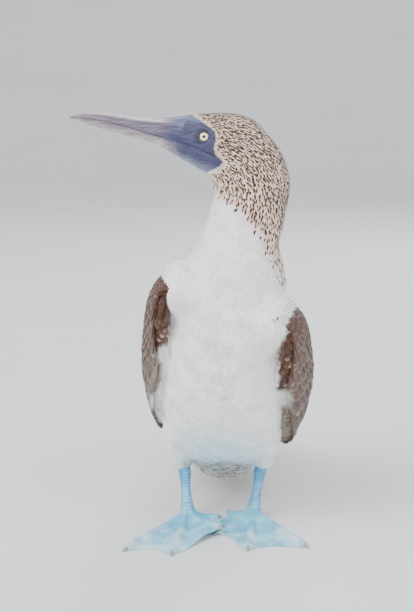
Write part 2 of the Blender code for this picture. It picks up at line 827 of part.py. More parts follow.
COLOURS = {
    "head": (0.42, 0.36, 0.31),
    "neck": (0.62, 0.57, 0.52),
    "torso": (0.86, 0.85, 0.82),
    "bill": (0.42, 0.47, 0.55),
    "eye": (0.86, 0.82, 0.55),
    "wing": (0.2, 0.14, 0.1),
    "tail": (0.27, 0.21, 0.17),
    "thigh": (0.8, 0.79, 0.77),
    "tarsus": (0.1, 0.45, 0.68),
    "foot": (0.22, 0.6, 0.72),
    "claw": (0.33, 0.35, 0.38),
}


def finish(made):
    """Gives a node its own material."""
    colour = COLOURS[made.name.split("_")[0]]
    material = bpy.data.materials.new(made.name)
    material.use_nodes = True
    shader = material.node_tree.nodes["Principled BSDF"]
    shader.inputs["Base Color"].default_value = (*colour, 1)
    shader.inputs["Roughness"].default_value = 0.25 if made.name.startswith("eye") else 0.7
    made.data.materials.clear()
    made.data.materials.append(material)
    for face in made.data.polygons:
        face.material_index = 0


def clear_scene():
    for old in list(bpy.data.objects):
        bpy.data.objects.remove(old)


def around(made, name="clearance", distance=1.5 * GAP):
    """A copy of an object swollen by a little more than the gap, to cut its neighbour with."""
    twin = copy_of(made, name)
    swell(twin, distance)
    return twin


def main():
    clear_scene()
    torso, neck, neck_top = make_body()
    make_head(neck_top)
    for side, name in ((1, "eye_left"), (-1, "eye_right")):
        ball(name, side, EYE_RADIUS)
    boolean(torso, [tail_core("clearance", 3 * MM)], "DIFFERENCE")
    tail = tail_core("tail", 0.0, 0.4)
    boolean(tail, tail_feathers(), "UNION")
    part_off(tail, Vector((0, 0, 0)), Vector((0, 0, -1)))
    for side, end, joint in ((1, "left", FOOT_LEFT), (-1, "right", FOOT_RIGHT)):
        wing = wing_core("wing_" + end, side)
        boolean(wing, wing_feathers(side), "UNION")
        boolean(wing, [around(torso)], "DIFFERENCE")
        boolean(wing, [tail_core("clearance", 3 * MM)], "DIFFERENCE")
        boolean(wing, [around(neck)], "DIFFERENCE")
        leg = thigh("thigh_" + end, side, joint)
        boolean(leg, [around(torso)], "DIFFERENCE")
        boolean(leg, [wing_core("clearance", side, 2 * MM)], "DIFFERENCE")
        boolean(wing, [around(leg)], "DIFFERENCE")
        tarsus("tarsus_" + end, side, joint)
        foot("foot_" + end, side, joint)
        for index in range(4):
            claw("claw_" + end + "_" + str(index + 1), side, joint, index)
    for made in list(bpy.context.scene.collection.objects):
        made.data.transform(Matrix.Translation(SHIFT))
        finish(made)


main()
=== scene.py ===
import math

import bmesh
import bpy
import numpy as np
from bpy.props import FloatProperty, FloatVectorProperty, PointerProperty
from mathutils import Matrix, Vector
from mathutils.bvhtree import BVHTree


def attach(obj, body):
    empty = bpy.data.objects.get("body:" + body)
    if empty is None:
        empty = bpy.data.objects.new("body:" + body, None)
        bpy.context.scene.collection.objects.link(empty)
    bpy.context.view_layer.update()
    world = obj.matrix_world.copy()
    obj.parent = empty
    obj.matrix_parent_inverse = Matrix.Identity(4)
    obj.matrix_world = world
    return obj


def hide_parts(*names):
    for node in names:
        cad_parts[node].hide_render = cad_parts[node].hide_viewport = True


bl_info = {
    "name": "Blue-footed Booby",
    "version": (1, 0, 0),
    "blender": (4, 5, 0),
    "location": "3D View > Sidebar > Booby",
    "description": "Plumage, bill, eyes, legs and feet of a standing blue-footed booby over its solid model",
    "category": "Object",
}

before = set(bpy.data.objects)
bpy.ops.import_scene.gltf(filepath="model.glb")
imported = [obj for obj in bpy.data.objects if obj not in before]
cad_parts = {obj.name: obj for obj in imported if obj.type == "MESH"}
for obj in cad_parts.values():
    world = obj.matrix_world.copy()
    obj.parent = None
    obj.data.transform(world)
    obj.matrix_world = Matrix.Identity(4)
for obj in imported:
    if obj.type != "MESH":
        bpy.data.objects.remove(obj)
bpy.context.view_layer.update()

MM = 0.001

# The bird's own sizes, in millimetres and degrees. They stand in the bird's frame, which has the origin
# between its heels; SHIFT takes it to the frame of the solid model.
SHIFT = np.array([21, -90, 0]) * MM
TRUNK_ROLL = math.radians(4.4)
ROLL_HEIGHT = 70 * MM
HIPS_X = -3 * MM
# belly y, belly z, back y, back z, half width
TRUNK = [
    (131, 19, 143, 46, 21),
    (98, 18, 127, 76, 36),
    (58, 21, 106, 110, 49),
    (16, 42, 80, 141, 57),
    (-24, 63, 54, 168, 60),
    (-60, 88, 30, 193, 61),
    (-86, 122, 8, 217, 60),
    (-100, 160, -11, 240, 57),
    (-107, 198, -25, 262, 53),
    (-109, 230, -34, 282, 48),
]
# x, y, z, half depth, half width, turn to the right, tip down
NECK = [
    (13, -72, 273, 41, 41, 18, 26),
    (19.5, -69, 289, 38.5, 39, 38, 16),
    (25, -68, 308, 36, 34, 62, 8),
    (29, -67.5, 327, 34, 29.5, 80, 8),
    (25.5, -68, 343, 33.5, 26.5, 85, 16),
    (20, -68.5, 352, 33, 25.5, 85, 24),
    (15, -69, 358, 31.5, 24.5, 85, 32),
    (8, -70, 366, 28, 22, 85, 44),
    (0, -71, 371, 20, 16, 85, 58),
]
HEAD_CENTRE = np.array([-12.2, -71.3, 371.8]) * MM
HEAD_YAW = math.radians(85)
# forward, top, bottom, half width
HEAD = [
    (-54, 0, -8, 5),
    (-51, 7, -14, 12),
    (-44, 13.5, -22, 18),
    (-36, 17.5, -29, 21.5),
    (-26, 20, -34, 24),
    (-13, 20.6, -35.5, 23.6),
    (0, 19.8, -30.4, 20.5),
    (10, 19.2, -24.8, 16.5),
    (20, 17.5, -19, 13.3),
    (30, 16.4, -13, 11),
    (40, 16.1, -7.2, 9.4),
    (55, 16.6, -2, 7.6),
    (70, 18.3, 1.8, 6.3),
    (85, 20.2, 5.9, 5),
    (100, 20.9, 10.3, 3.6),
    (108, 19.9, 13.2, 2.6),
    (113, 18.0, 15, 1.5),
    (115.6, 16.6, 15.4, 0.6),
]
# The line of the mouth and the rear edge of the bare chin, forward and up
MOUTH = [
    (118, 16.6), (107, 17.0), (95, 15.0), (80, 12.3), (65, 8.4), (50, 3.7), (40, 0.9), (30, -1.7),
    (15.5, -5.5), (5.6, -9.5), (-4.3, -13.4), (-12.3, -17), (-16.5, -21), (-13, -26), (-7.6, -28.4),
    (-1.8, -31),
]
# The rear edge of the bare face above the mouth, from the forehead down
FACE = [(11.5, 26), (10.8, 18.7), (5.6, 15.5), (-4, 8.5), (-8.3, 5.6), (-9.2, -1.3), (-7.5, -8.2), (-9, -17)]
BILL_ROOT = [(11.5, 20), (23.5, -3)]
EYE_RADIUS = 8 * MM
EYE_OUT = 13.6 * MM
EYE_TURN = math.radians(2)
EYE_RISE = 0.11
LID_RADIUS = 5.9 * MM
# Radius of the hollow that the skin has behind an eyeball, in millimetres
EYE_HOLLOW = 8.4
SKIN_VOXEL = 1.9 * MM
# Folded wing of the level left side: x, y, z, reach up, reach down, lean, fall at the upper and the lower
# edge, thickness
WING = [
    (43, -104, 236, 5, 7, 32, 1.2, 1.2, 6),
    (54, -94, 239, 15, 18, 31, 5, 6, 15),
    (66, -68, 226, 31, 34, 27, 13, 21, 26),
    (73, -33, 196, 44, 44, 24, 24, 33, 34),
    (76.5, 4, 165, 50, 46, 24, 28, 31, 34),
    (75, 40, 134, 50, 43, 24, 27, 26, 32),
    (68, 76, 107, 45, 37, 25, 22, 18, 27),
    (56, 113, 84, 36, 30, 27, 12, 12, 20),
    (43.5, 150, 66, 26, 23, 28, 7, 7, 12),
    (33, 188, 51, 17, 17, 26, 4, 4, 7),
    (24, 225, 39, 9.5, 10, 24, 2, 2, 4.5),
    (18, 262, 29, 2, 2.5, 22, 0.4, 0.4, 1.6),
]
WING_RAISE = {
    -1: (12, 12, 9, 6, 5, 4, 3, 2, 0, 0, 0, 0),
    1: (-9, -9, -6, -3, 0, 0, 0, 0, 0, 0, 0, 0),
}
# Degrees from upright of the wing's upward direction, at the same places
WING_SLOPE = (34, 36, 40, 43, 43, 41, 37, 29, 23, 19, 17, 17)
# Feathered fill between the breast and each wing's bend, in the solid model's frame: middles, half sizes,
# and how far round it creases are smoothed, in millimetres
SHOULDER_FILL = {-1: (-0.011, -0.174, 0.243), 1: (0.069, -0.172, 0.213)}
SHOULDER_SIZE = (0.020, 0.028, 0.028)
SHOULDER_REACHES = (52, 44, 36, 28)
# y, z of the tail's middle, half width, half thickness
TAIL = [
    (86, 66, 12, 9),
    (110, 57, 18, 8),
    (135, 49, 22, 6.5),
    (165, 39.5, 24.5, 5),
    (195, 30.5, 25, 3.8),
    (225, 21.5, 22.5, 3),
    (250, 14, 16.5, 2.4),
    (272, 7, 9, 2),
    (291, 0.6, 2, 1.2),
]
TAIL_ARCH = 5 * MM
# From the middle pair out: chord at the root and at the tip, place of the tip
TAIL_FEATHERS = [
    (0.1, 0.24, 7.95), (0.28, 0.5, 7.3), (0.44, 0.72, 6.7),
    (0.58, 0.84, 6.1), (0.7, 0.9, 5.6), (0.8, 0.94, 5.1),
]
FOOT = {-1: np.array([-35, -3, 0]) * MM, 1: np.array([29, 5, 0]) * MM}
SOLE_JOINT_Z = 13.5 * MM
# Toes from the outer one to the hind one: degrees from straight ahead towards the inner side, length
TOES = {
    -1: [(-29, 96), (-3, 90), (42, 52), (105, 30)],
    1: [(-36, 86), (1, 80), (35, 54), (118, 27)],
}
TOE_HALF_WIDTH = 3.8 * MM
TOE_BOW = 4
# Thickness of the web
WEB = 2.2 * MM
CLAW_LENGTHS = (7.5, 8.5, 7.0, 5.5)
OVERLAP_LIFT = 5.4 * MM
# Upper leg: x on its own side, y, z, half width, half depth
THIGH = [
    (41, 10, 120, 15, 26),
    (43, 8, 98, 17, 27),
    (43.5, 8, 80, 16, 22),
    (42.5, 10, 64, 13, 16),
    (41, 11, 53, 10.5, 12),
    (40, 11, 48.5, 8.6, 9.6),
]
# How far apart level legs would stand, and the share of a foot's shift that the upper leg follows
LEG_OUT = 34.5
LEG_FOLLOWS = 0.6
SIDES = {"left": 1, "right": -1}


def tint(red, green, blue):
    """A colour given as a screen shows it, 0 to 255, in the linear values that shaders use."""
    share = np.array([red, green, blue]) / 255
    return np.where(share <= 0.04045, share / 12.92, ((share + 0.055) / 1.055) ** 2.4)


def smooth(rows, place):
    """Rows of numbers read at fractional places, on the smooth curve through them."""
    rows = np.asarray(rows, float)
    place = np.atleast_1d(np.asarray(place, float))
    last = len(rows) - 1
    index = np.clip(place.astype(int), 0, last - 1)
    t = np.clip(place - index, 0, 1)[:, None]
    a, b = rows[np.maximum(index - 1, 0)], rows[index]
    c, d = rows[index + 1], rows[np.minimum(index + 2, last)]
    return 0.5 * (2 * b + (c - a) * t + (2 * a - 5 * b + 4 * c - d) * t**2 + (3 * b - a - 3 * c + d) * t**3)


def ramp(low, high, value):
    """0 at low, 1 at high and smooth between them."""
    part = np.clip((np.asarray(value, float) - low) / (high - low), 0, 1)
    return part * part * (3 - 2 * part)


def unit(vectors):
    return vectors / np.maximum(np.linalg.norm(vectors, axis=-1, keepdims=True), 1e-12)


def blend(first, second, share):
    """Rows of the first and the second, mixed by the second's share."""
    share = np.asarray(share, float)[..., None]
    return first * (1 - share) + second * share


def rolled(points):
    """Level points of the trunk, as the bird's roll carries them, in the solid model's frame."""
    points = np.asarray(points, float)
    rise = points[..., 2] - ROLL_HEIGHT
    x = HIPS_X + points[..., 0] * math.cos(TRUNK_ROLL) + rise * math.sin(TRUNK_ROLL)
    z = ROLL_HEIGHT + rise * math.cos(TRUNK_ROLL) - points[..., 0] * math.sin(TRUNK_ROLL)
    return np.stack([x, points[..., 1], z], axis=-1) + SHIFT


def body_sections():
    """Middle, front arm and left arm of every section of trunk and neck."""
    rows = []
    for belly_y, belly_z, back_y, back_z, half_width in TRUNK:
        belly, back = rolled(np.array([[0, belly_y, belly_z], [0, back_y, back_z]]) * MM)
        left = np.array([math.cos(TRUNK_ROLL), 0, -math.sin(TRUNK_ROLL)]) * half_width * MM
        rows.append([*((belly + back) / 2), *((belly - back) / 2), *left])
    for x, y, z, half_depth, half_width, turn, down in NECK:
        turn, down = math.radians(turn), math.radians(down)
        level = math.cos(down)
        front = np.array([-math.sin(turn) * level, -math.cos(turn) * level, -math.sin(down)])
        left = np.array([math.cos(turn), -math.sin(turn), 0]) * half_width * MM
        rows.append([*(np.array([x, y, z]) * MM + SHIFT), *(front * half_depth * MM), *left])
    return np.array(rows)


SECTIONS = body_sections()
AHEAD = np.array([-math.sin(HEAD_YAW), -math.cos(HEAD_YAW), 0])
ASIDE = np.array([math.cos(HEAD_YAW), -math.sin(HEAD_YAW), 0])
HEAD_MIDDLE = HEAD_CENTRE + SHIFT


def body_surface(place, angle):
    """Points of the trunk and neck. The angle is 0 at the belly or throat and a quarter turn at the left."""
    values = smooth(SECTIONS, place)
    angle = np.atleast_1d(angle)[:, None]
    return values[:, 0:3] + values[:, 3:6] * np.cos(angle) + values[:, 6:9] * np.sin(angle)


def head_place(forward, left, up):
    """Points given by the head's own directions, in metres."""
    forward, left, up = (np.asarray(value, float)[..., None] for value in (forward, left, up))
    return HEAD_MIDDLE + forward * AHEAD + left * ASIDE + up * np.array([0, 0, 1.0])


def head_coordinates(points):
    """How far ahead of the eyes, to the head's left and above them points are, in millimetres."""
    offset = (np.asarray(points, float) - HEAD_MIDDLE) / MM
    return offset @ AHEAD, offset @ ASIDE, offset[..., 2]


def bill_detail(forward, left, up, top, bottom):
    """How far the bare parts sink, in millimetres: the long groove beside the ridge of the upper bill, a
    hollow before the eye and the folds of the face."""
    height = (up - bottom) / np.maximum(top - bottom, 0.1)
    side = np.abs(left)
    groove_height = 0.79 - 0.05 * ramp(20, 100, forward)
    along = ramp(14, 24, forward) * (1 - ramp(98, 108, forward))
    sink = 0.55 * along * np.exp(-(((height - groove_height) / 0.045) ** 2))
    sink += 0.18 * along * np.exp(-(((height - 0.62) / 0.03) ** 2))
    near = np.exp(-(((forward - 11.5) / 4.5) ** 2) - ((up - 3.5) / 3.4) ** 2)
    sink += 0.7 * near * (side > 4)
    brow = np.exp(-(((up - 9 - 0.25 * forward) / 2.2) ** 2))
    brow = brow * ramp(-9, 0, forward) * (1 - ramp(9, 20, forward))
    sink -= 0.7 * brow * (side > 4)
    fold = np.sin((up + 0.42 * forward) * 2.1) * ramp(-14, -4, up - 0.36 * forward)
    sink += 0.16 * fold * (1 - ramp(14, 24, forward)) * (up < -4)
    return sink


def head_surface(place, angle, detail=True):
    """Points of the head and bill. The angle is 0 at the top and a quarter turn at the left."""
    forward, top, bottom, half_width = smooth(HEAD, place).T
    left = half_width * np.sin(angle)
    up = (top + bottom) / 2 + (top - bottom) / 2 * np.cos(angle)
    if detail:
        sink = bill_detail(forward, left, up, top, bottom)
        reach = np.maximum(np.hypot(left, up - (top + bottom) / 2), 0.5)
        scale = 1 - np.clip(sink / reach, -0.2, 0.3)
        left = left * scale
        up = (top + bottom) / 2 + (up - (top + bottom) / 2) * scale
    return head_place(forward * MM, left * MM, up * MM)


def wing_rows(side):
    """A wing's rows as raised on its side, in metres and radians, each with its slope at the end."""
    rows = np.array(WING, float)
    rows[:, 2] += WING_RAISE[side]
    rows = np.column_stack([rows, WING_SLOPE])
    rows[:, [0, 1, 2, 3, 4, 6, 7, 8]] *= MM
    rows[:, [5, 9]] = np.radians(rows[:, [5, 9]])
    return rows


WING_ROWS = {side: wing_rows(side) for side in (1, -1)}


def wing_surface(side, place, chord, rise=0.0):
    """Points over a wing's outer face. The chord is 1 at its upper edge and -1 at its lower."""
    values = smooth(WING_ROWS[side], place)
    zero = np.zeros(len(values))
    steep = np.stack([zero, np.sin(values[:, 9]), np.cos(values[:, 9])], axis=-1)
    across = np.array([1.0, 0, 0])
    lean = values[:, 5:6]
    up = steep * np.cos(lean) - across * np.sin(lean)
    out = across * np.cos(lean) + steep * np.sin(lean)
    reach = np.where(chord > 0, values[:, 3], values[:, 4])
    fall = np.where(chord > 0, values[:, 6], values[:, 7])
    points = values[:, 0:3] + up * (reach * chord)[:, None] + out * (rise - fall * chord**2)[:, None]
    points[:, 0] *= side
    return rolled(points)


def tail_surface(place, across, rise=0.0):
    """Points over the tail's upper face. Across is -1 to 1 from the right edge to the left."""
    y, z, half_width, half_thickness = (smooth(TAIL, place) * MM).T
    arch = TAIL_ARCH * half_width / (25 * MM)
    bow = np.sqrt(np.maximum(1 - across**2, 0))
    height = z + rise + half_thickness * bow - arch * across**2
    return np.stack([across * half_width, y, height], axis=-1) + SHIFT


# Making and finishing pieces


def shown(name, mesh):
    made = bpy.data.objects.new(name, mesh)
    bpy.context.scene.collection.objects.link(made)
    return made


def shade_smooth(mesh):
    mesh.polygons.foreach_set("use_smooth", np.ones(len(mesh.polygons), bool))


def grown(name, bm):
    """Makes an object of a bmesh, shaded smooth, with its place in its mesh."""
    mesh = bpy.data.meshes.new(name)
    bm.to_mesh(mesh)
    bm.free()
    shade_smooth(mesh)
    return shown(name, mesh)


def set_places(bm, function):
    """Moves the vertices of a grid to where a function of arrays u and v, 0 to 1, puts them."""
    flat = np.array([vertex.co[:2] for vertex in bm.verts])
    places = function((flat[:, 0] + 1) / 2, (flat[:, 1] + 1) / 2)
    for vertex, place in zip(bm.verts, places):
        vertex.co = place
    return bm


def tube(around, along, function):
    """A closed tube: u runs round it and v along it. Open ends are filled, and a ring's are welded."""
    bm = bmesh.new()
    bmesh.ops.create_grid(bm, x_segments=around, y_segments=along, size=1)
    set_places(bm, function)
    bmesh.ops.remove_doubles(bm, verts=bm.verts, dist=2e-6)
    fill_holes(bm)
    bmesh.ops.recalc_face_normals(bm, faces=bm.faces)
    return bm


def ball(around, along, radius, matrix):
    bm = bmesh.new()
    bmesh.ops.create_uvsphere(bm, u_segments=around, v_segments=along, radius=radius)
    bmesh.ops.transform(bm, matrix=matrix, verts=bm.verts)
    return bm


def fill_holes(bm):
    bmesh.ops.holes_fill(bm, edges=[edge for edge in bm.edges if edge.is_boundary], sides=0)


def soften(bm, verts, times):
    for _ in range(times):
        bmesh.ops.smooth_vert(bm, verts=verts, factor=0.5, use_axis_x=True, use_axis_y=True, use_axis_z=True)


def evaluated(made):
    """Replaces an object's mesh by what its modifiers make of it."""
    graph = bpy.context.evaluated_depsgraph_get()
    mesh = bpy.data.meshes.new_from_object(made.evaluated_get(graph))
    made.modifiers.clear()
    made.data = mesh
    return made


def carve(made, tool, operation):
    """Cuts or intersects an object with another, which is used up."""
    modifier = made.modifiers.new("carve", "BOOLEAN")
    modifier.operation = operation
    modifier.solver = "EXACT"
    modifier.object = tool
    evaluated(made)
    bpy.data.objects.remove(tool)
    shade_smooth(made.data)
    return made


def twin(made, name):
    copy = made.copy()
    copy.data = made.data.copy()
    copy.name = name
    bpy.context.scene.collection.objects.link(copy)
    return copy


def part_off(made, point, normal):
    """Cuts an object by a plane and keeps the side that the normal points away from."""
    bm = bmesh.new()
    bm.from_mesh(made.data)
    geometry = [*bm.verts, *bm.edges, *bm.faces]
    bmesh.ops.bisect_plane(bm, geom=geometry, dist=1e-6, plane_co=point, plane_no=normal, clear_outer=True)
    fill_holes(bm)
    bm.to_mesh(made.data)
    bm.free()
    return made


def read_rows(items, key):
    flat = np.empty(len(items) * 3)
    items.foreach_get(key, flat)
    return flat.reshape(-1, 3)


def points_of(mesh):
    return read_rows(mesh.vertices, "co")


def normals_of(mesh):
    return read_rows(mesh.vertex_normals, "vector")


def move_points(mesh, points):
    mesh.vertices.foreach_set("co", points.ravel())
    mesh.update()


def paint(made, colours):
    """Stores one colour for an object, or one for each of its vertices."""
    attribute = made.data.attributes.new("plumage", "FLOAT_COLOR", "POINT")
    flat = np.ones((len(made.data.vertices), 4))
    flat[:, :3] = np.clip(colours, 0, 1)
    attribute.data.foreach_set("color", flat.ravel())


def unwrap(made, places, name="OFBake"):
    """Gives an object a UV map from one place for each vertex."""
    layer = made.data.uv_layers.new(name=name)
    corner = np.empty(len(made.data.loops), np.int32)
    made.data.loops.foreach_get("vertex_index", corner)
    layer.data.foreach_set("uv", np.asarray(places, float)[corner].ravel())


def settle(made, material, slot, *nodes):
    """Gives a piece its material and hangs it on the model's one body in place of these nodes."""
    made.data.materials.clear()
    made.data.materials.append(material)
    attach(made, "root")
    if nodes:
        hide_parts(*nodes)
    return made


# Materials


class Shade:
    """Short ways to add shader nodes to one material."""

    def __init__(self, name):
        self.material = bpy.data.materials.new(name)
        self.material.use_nodes = True
        self.tree = self.material.node_tree
        self.shader = self.tree.nodes["Principled BSDF"]

    def add(self, kind, **values):
        node = self.tree.nodes.new(kind)
        for key, value in values.items():
            if hasattr(node, key):
                setattr(node, key, value)
            else:
                node.inputs[key.replace("_", " ")].default_value = value
        return node

    def link(self, source, target):
        self.tree.links.new(source, target)

    def placed(self, location=(0, 0, 0), rotation=(0, 0, 0), scale=(1, 1, 1)):
        """Object coordinates, moved, turned and stretched."""
        mapping = self.add("ShaderNodeMapping", Location=location, Rotation=rotation, Scale=scale)
        self.link(self.add("ShaderNodeTexCoord").outputs["Object"], mapping.inputs["Vector"])
        return mapping.outputs["Vector"]

    def noise(self, scale, detail=3.0, stretch=(1, 1, 1)):
        node = self.add("ShaderNodeTexNoise", Scale=scale, Detail=detail)
        self.link(self.placed(scale=stretch), node.inputs["Vector"])
        return node.outputs["Fac"]

    def scutes(self, scale):
        """Cells with sunken seams, as scaled skin has."""
        node = self.add("ShaderNodeTexVoronoi", feature="DISTANCE_TO_EDGE", Scale=scale)
        self.link(self.placed(), node.inputs["Vector"])
        return self.stops(node.outputs["Distance"], [(0.0, (0, 0, 0)), (0.16, (1, 1, 1))])

    def painted(self, source, stops):
        """The colours stored on the piece, times a pattern."""
        stored = self.add("ShaderNodeAttribute", attribute_name="plumage").outputs["Color"]
        return self.mix(1.0, stored, self.stops(source, stops), "MULTIPLY")

    def stops(self, source, stops):
        node = self.add("ShaderNodeValToRGB")
        while len(node.color_ramp.elements) < len(stops):
            node.color_ramp.elements.new(0.5)
        for element, (position, colour) in zip(node.color_ramp.elements, stops):
            element.position = position
            element.color = (*colour, 1)
        self.link(source, node.inputs["Fac"])
        return node.outputs["Color"]

    def mix(self, factor, first, second, way="MIX"):
        node = self.add("ShaderNodeMix", data_type="RGBA", blend_type=way)
        for socket, value in ((node.inputs[0], factor), (node.inputs[6], first), (node.inputs[7], second)):
            if isinstance(value, bpy.types.NodeSocket):
                self.link(value, socket)
            elif isinstance(value, (int, float)):
                socket.default_value = value
            else:
                socket.default_value = (*value, 1)
        return node.outputs[2]

    def bump(self, height, strength, distance, under=None):
        node = self.add("ShaderNodeBump", Strength=strength, Distance=distance)
        self.link(height, node.inputs["Height"])
        if under:
            self.link(under, node.inputs["Normal"])
        return node.outputs["Normal"]

    def finish(self, colour, roughness, normal=None, **sockets):
        self.link(colour, self.shader.inputs["Base Color"])
        self.shader.inputs["Roughness"].default_value = roughness
        if normal:
            self.link(normal, self.shader.inputs["Normal"])
        for key, value in sockets.items():
            self.shader.inputs[key.replace("_", " ")].default_value = value
        return self.material


def greys(low, high, first=0.3, last=0.7):
    """Stops from one grey to another, for a noise."""
    return [(first, (low, low, low)), (last, (high, high, high))]


def feather_material(name, barbs, relief=0.3, roughness=0.75, clouds=0.8):
    """Painted plumage with fine barbs across each vane and a little cloudiness."""
    shade = Shade(name)
    colour = shade.painted(shade.noise(52.0, 5.0), greys(clouds, 1.04))
    lay = shade.add("ShaderNodeUVMap", uv_map="Vane")
    barb = shade.add("ShaderNodeTexWave", Scale=barbs, Distortion=1.2, bands_direction="DIAGONAL")
    shade.link(lay.outputs["UV"], barb.inputs["Vector"])
    normal = shade.bump(barb.outputs["Fac"], relief, 0.0003)
    return shade.finish(colour, roughness, normal, Sheen_Weight=0.12, Sheen_Roughness=0.5)


def skin_material(name):
    """Down under the plumage, in the same markings."""
    shade = Shade(name)
    fluff = shade.noise(900.0)
    return shade.finish(shade.painted(fluff, greys(0.8, 1.05)), 0.9, shade.bump(fluff, 0.5, 0.0006))


# Stops for streaks in horn and for veins in skin
STREAKED = [(0.3, (0.5, 0.48, 0.5)), (0.68, (1.3, 1.28, 1.26))]
VEINED = [(0.34, (0.52, 0.7, 0.84)), (0.66, (1.3, 1.16, 1.08))]


def horn_material(name):
    """Horn of the bill: painted, with long fine streaks and a soft shine."""
    shade = Shade(name)
    streak = shade.noise(48.0, 5.0, (1.0, 10.0, 10.0))
    fine = shade.noise(520.0, 3.0, (0.5, 3.0, 3.0))
    normal = shade.bump(fine, 0.22, 0.0004, shade.bump(streak, 0.35, 0.0006))
    return shade.finish(shade.painted(streak, STREAKED), 0.42, normal, Coat_Weight=0.12, Coat_Roughness=0.3)


def bare_material(name, cells, roughness, relief, veins=95.0, stretch=(1, 1, 1), stops=VEINED, seams=0.25):
    """Bare or scaled skin: painted, creased between small scutes."""
    shade = Shade(name)
    cell = shade.scutes(cells)
    vein = shade.noise(veins, 6.0, stretch)
    colour = shade.mix(1.0, shade.painted(vein, stops), shade.mix(1 - seams, cell, (1, 1, 1)), "MULTIPLY")
    normal = shade.bump(cell, relief, 0.0005, shade.bump(vein, 0.3, 0.0012))
    return shade.finish(colour, roughness, normal, Coat_Weight=0.06, Coat_Roughness=0.4)


# Markings


def chosen(name):
    """A colour or a size as the sidebar has it."""
    value = getattr(bpy.context.scene.booby, name)
    return np.array(value) if hasattr(value, "__len__") else value


WARM_WHITE = tint(244, 238, 232)
SOFT_GREY = tint(206, 204, 208)
VENT_GREY = tint(172, 158, 144)
# The edge of the streaks on head and neck, forward and up; they lie behind it
STREAK_EDGE = [
    (9, 30), (9, 18), (2, 11), (-4, 5), (-5, -4), (-7, -16), (-6, -26), (-5, -36), (-11, -46), (-30, -58),
    (-47, -81), (-56, -96), (-64, -118),
]


def streak_share(points):
    """How far the dark streaks of head, nape and hind neck reach at points, 0 to 1."""
    forward, left, up = head_coordinates(points)
    edge = np.array(STREAK_EDGE, float)[::-1]
    behind = np.interp(up, edge[:, 1], edge[:, 0]) - forward
    fade = np.interp(up, [-60, -30, 12, 20], [20, 8, 3, 5])
    return ramp(0, 1, (behind + 0.25 * fade) / fade) * ramp(-150, -112, up)


def body_colours(points, place, angle, wobble):
    """Base colour of the plumage, and how brown the back is. Wobble is random for each point, 0 to 1."""
    up = points[:, 2] / MM
    x = points[:, 0] / MM
    colour = blend(chosen("white"), WARM_WHITE, 0.5 * wobble)
    # soft grey shading in the middle of the breast
    breast = np.exp(-(((x - 22) / 30) ** 2) - ((up - 165) / 55) ** 2) * (np.cos(angle) > 0)
    wave = tufts(points)
    grey = np.clip(0.16 + 0.2 * wave, 0, 1) * (0.4 + 0.6 * breast) * (0.5 + wobble)
    colour = blend(colour, SOFT_GREY, grey)
    # painted reflection of the blue feet on the belly above the legs
    blue = ramp(40, 66, up) * (1 - ramp(90, 138, up + 7 * wave)) * ramp(0.1, 0.8, np.cos(angle))
    blue = blue * np.exp(-(((x - 20) / 36) ** 4)) * (0.8 + 0.25 * wave)
    colour = blend(colour, chosen("painted_foot_reflection"), 0.74 * blue)
    # brown smudges below and behind the legs, and a paler rim under them
    low = up - (52 - 0.32 * (points[:, 1] / MM + 60))
    vent = np.exp(-(((x - 18) / 33) ** 6)) * ramp(5, -3, low) * ramp(-34, -12, low)
    vent = vent * ramp(-0.3, 0.3, np.cos(angle)) * (place < 6)
    colour = blend(colour, blend(VENT_GREY, chosen("brown"), 0.8 * wobble), vent * (0.45 + 0.55 * wobble))
    # warm throat under the bare chin
    head_up = head_coordinates(points)[2]
    throat = np.exp(-(((head_up + 34) / 11) ** 2)) * (place > 12.5)
    throat = np.maximum(throat, ramp(-30, -18, head_up) * (place > 13))
    colour = blend(colour, tint(234, 208, 190), 0.6 * throat)
    # brown mantle and back, with a white patch between the shoulders and one on the rump
    back = ramp(-0.05, -0.45, np.cos(angle)) * ramp(0.4, 1.2, place) * (1 - ramp(9.6, 11.2, place))
    patch = np.exp(-(((place - 9.4) / 0.9) ** 2) - ((np.cos(angle) + 1) / 0.4) ** 2)
    patch += np.exp(-(((place - 2.2) / 0.8) ** 2) - ((np.cos(angle) + 1) / 0.5) ** 2)
    back = back * (1 - np.clip(patch, 0, 1))
    return blend(colour, blend(chosen("brown"), chosen("dark_brown"), wobble), back), back


# Lie of the plumage


def axis_samples():
    """Points down the middle of the bird from the tail's root to the bill's, with the way to the tail, the
    way to the belly or throat, the way to the left and a place from 0 to 20."""
    place = np.linspace(0, 15.0, 121)
    values = smooth(SECTIONS, place)
    middle, front, side = values[:, 0:3], unit(values[:, 3:6]), unit(values[:, 6:9])
    share = np.linspace(0, 1, 30)
    head = head_place((-24 + 40 * share) * MM, 0 * share, (-16 + 12 * share) * MM)
    middle = np.vstack([middle, head])
    front = np.vstack([front, np.tile([0, 0, -1.0], (30, 1))])
    side = np.vstack([side, np.tile(ASIDE, (30, 1))])
    place = np.concatenate([place, np.linspace(15.2, 20, 30)])
    lie = -unit(np.gradient(middle, axis=0))
    return middle, lie, front, side, place


AXIS_MIDDLE, AXIS_LIE, AXIS_FRONT, AXIS_SIDE, AXIS_PLACE = axis_samples()


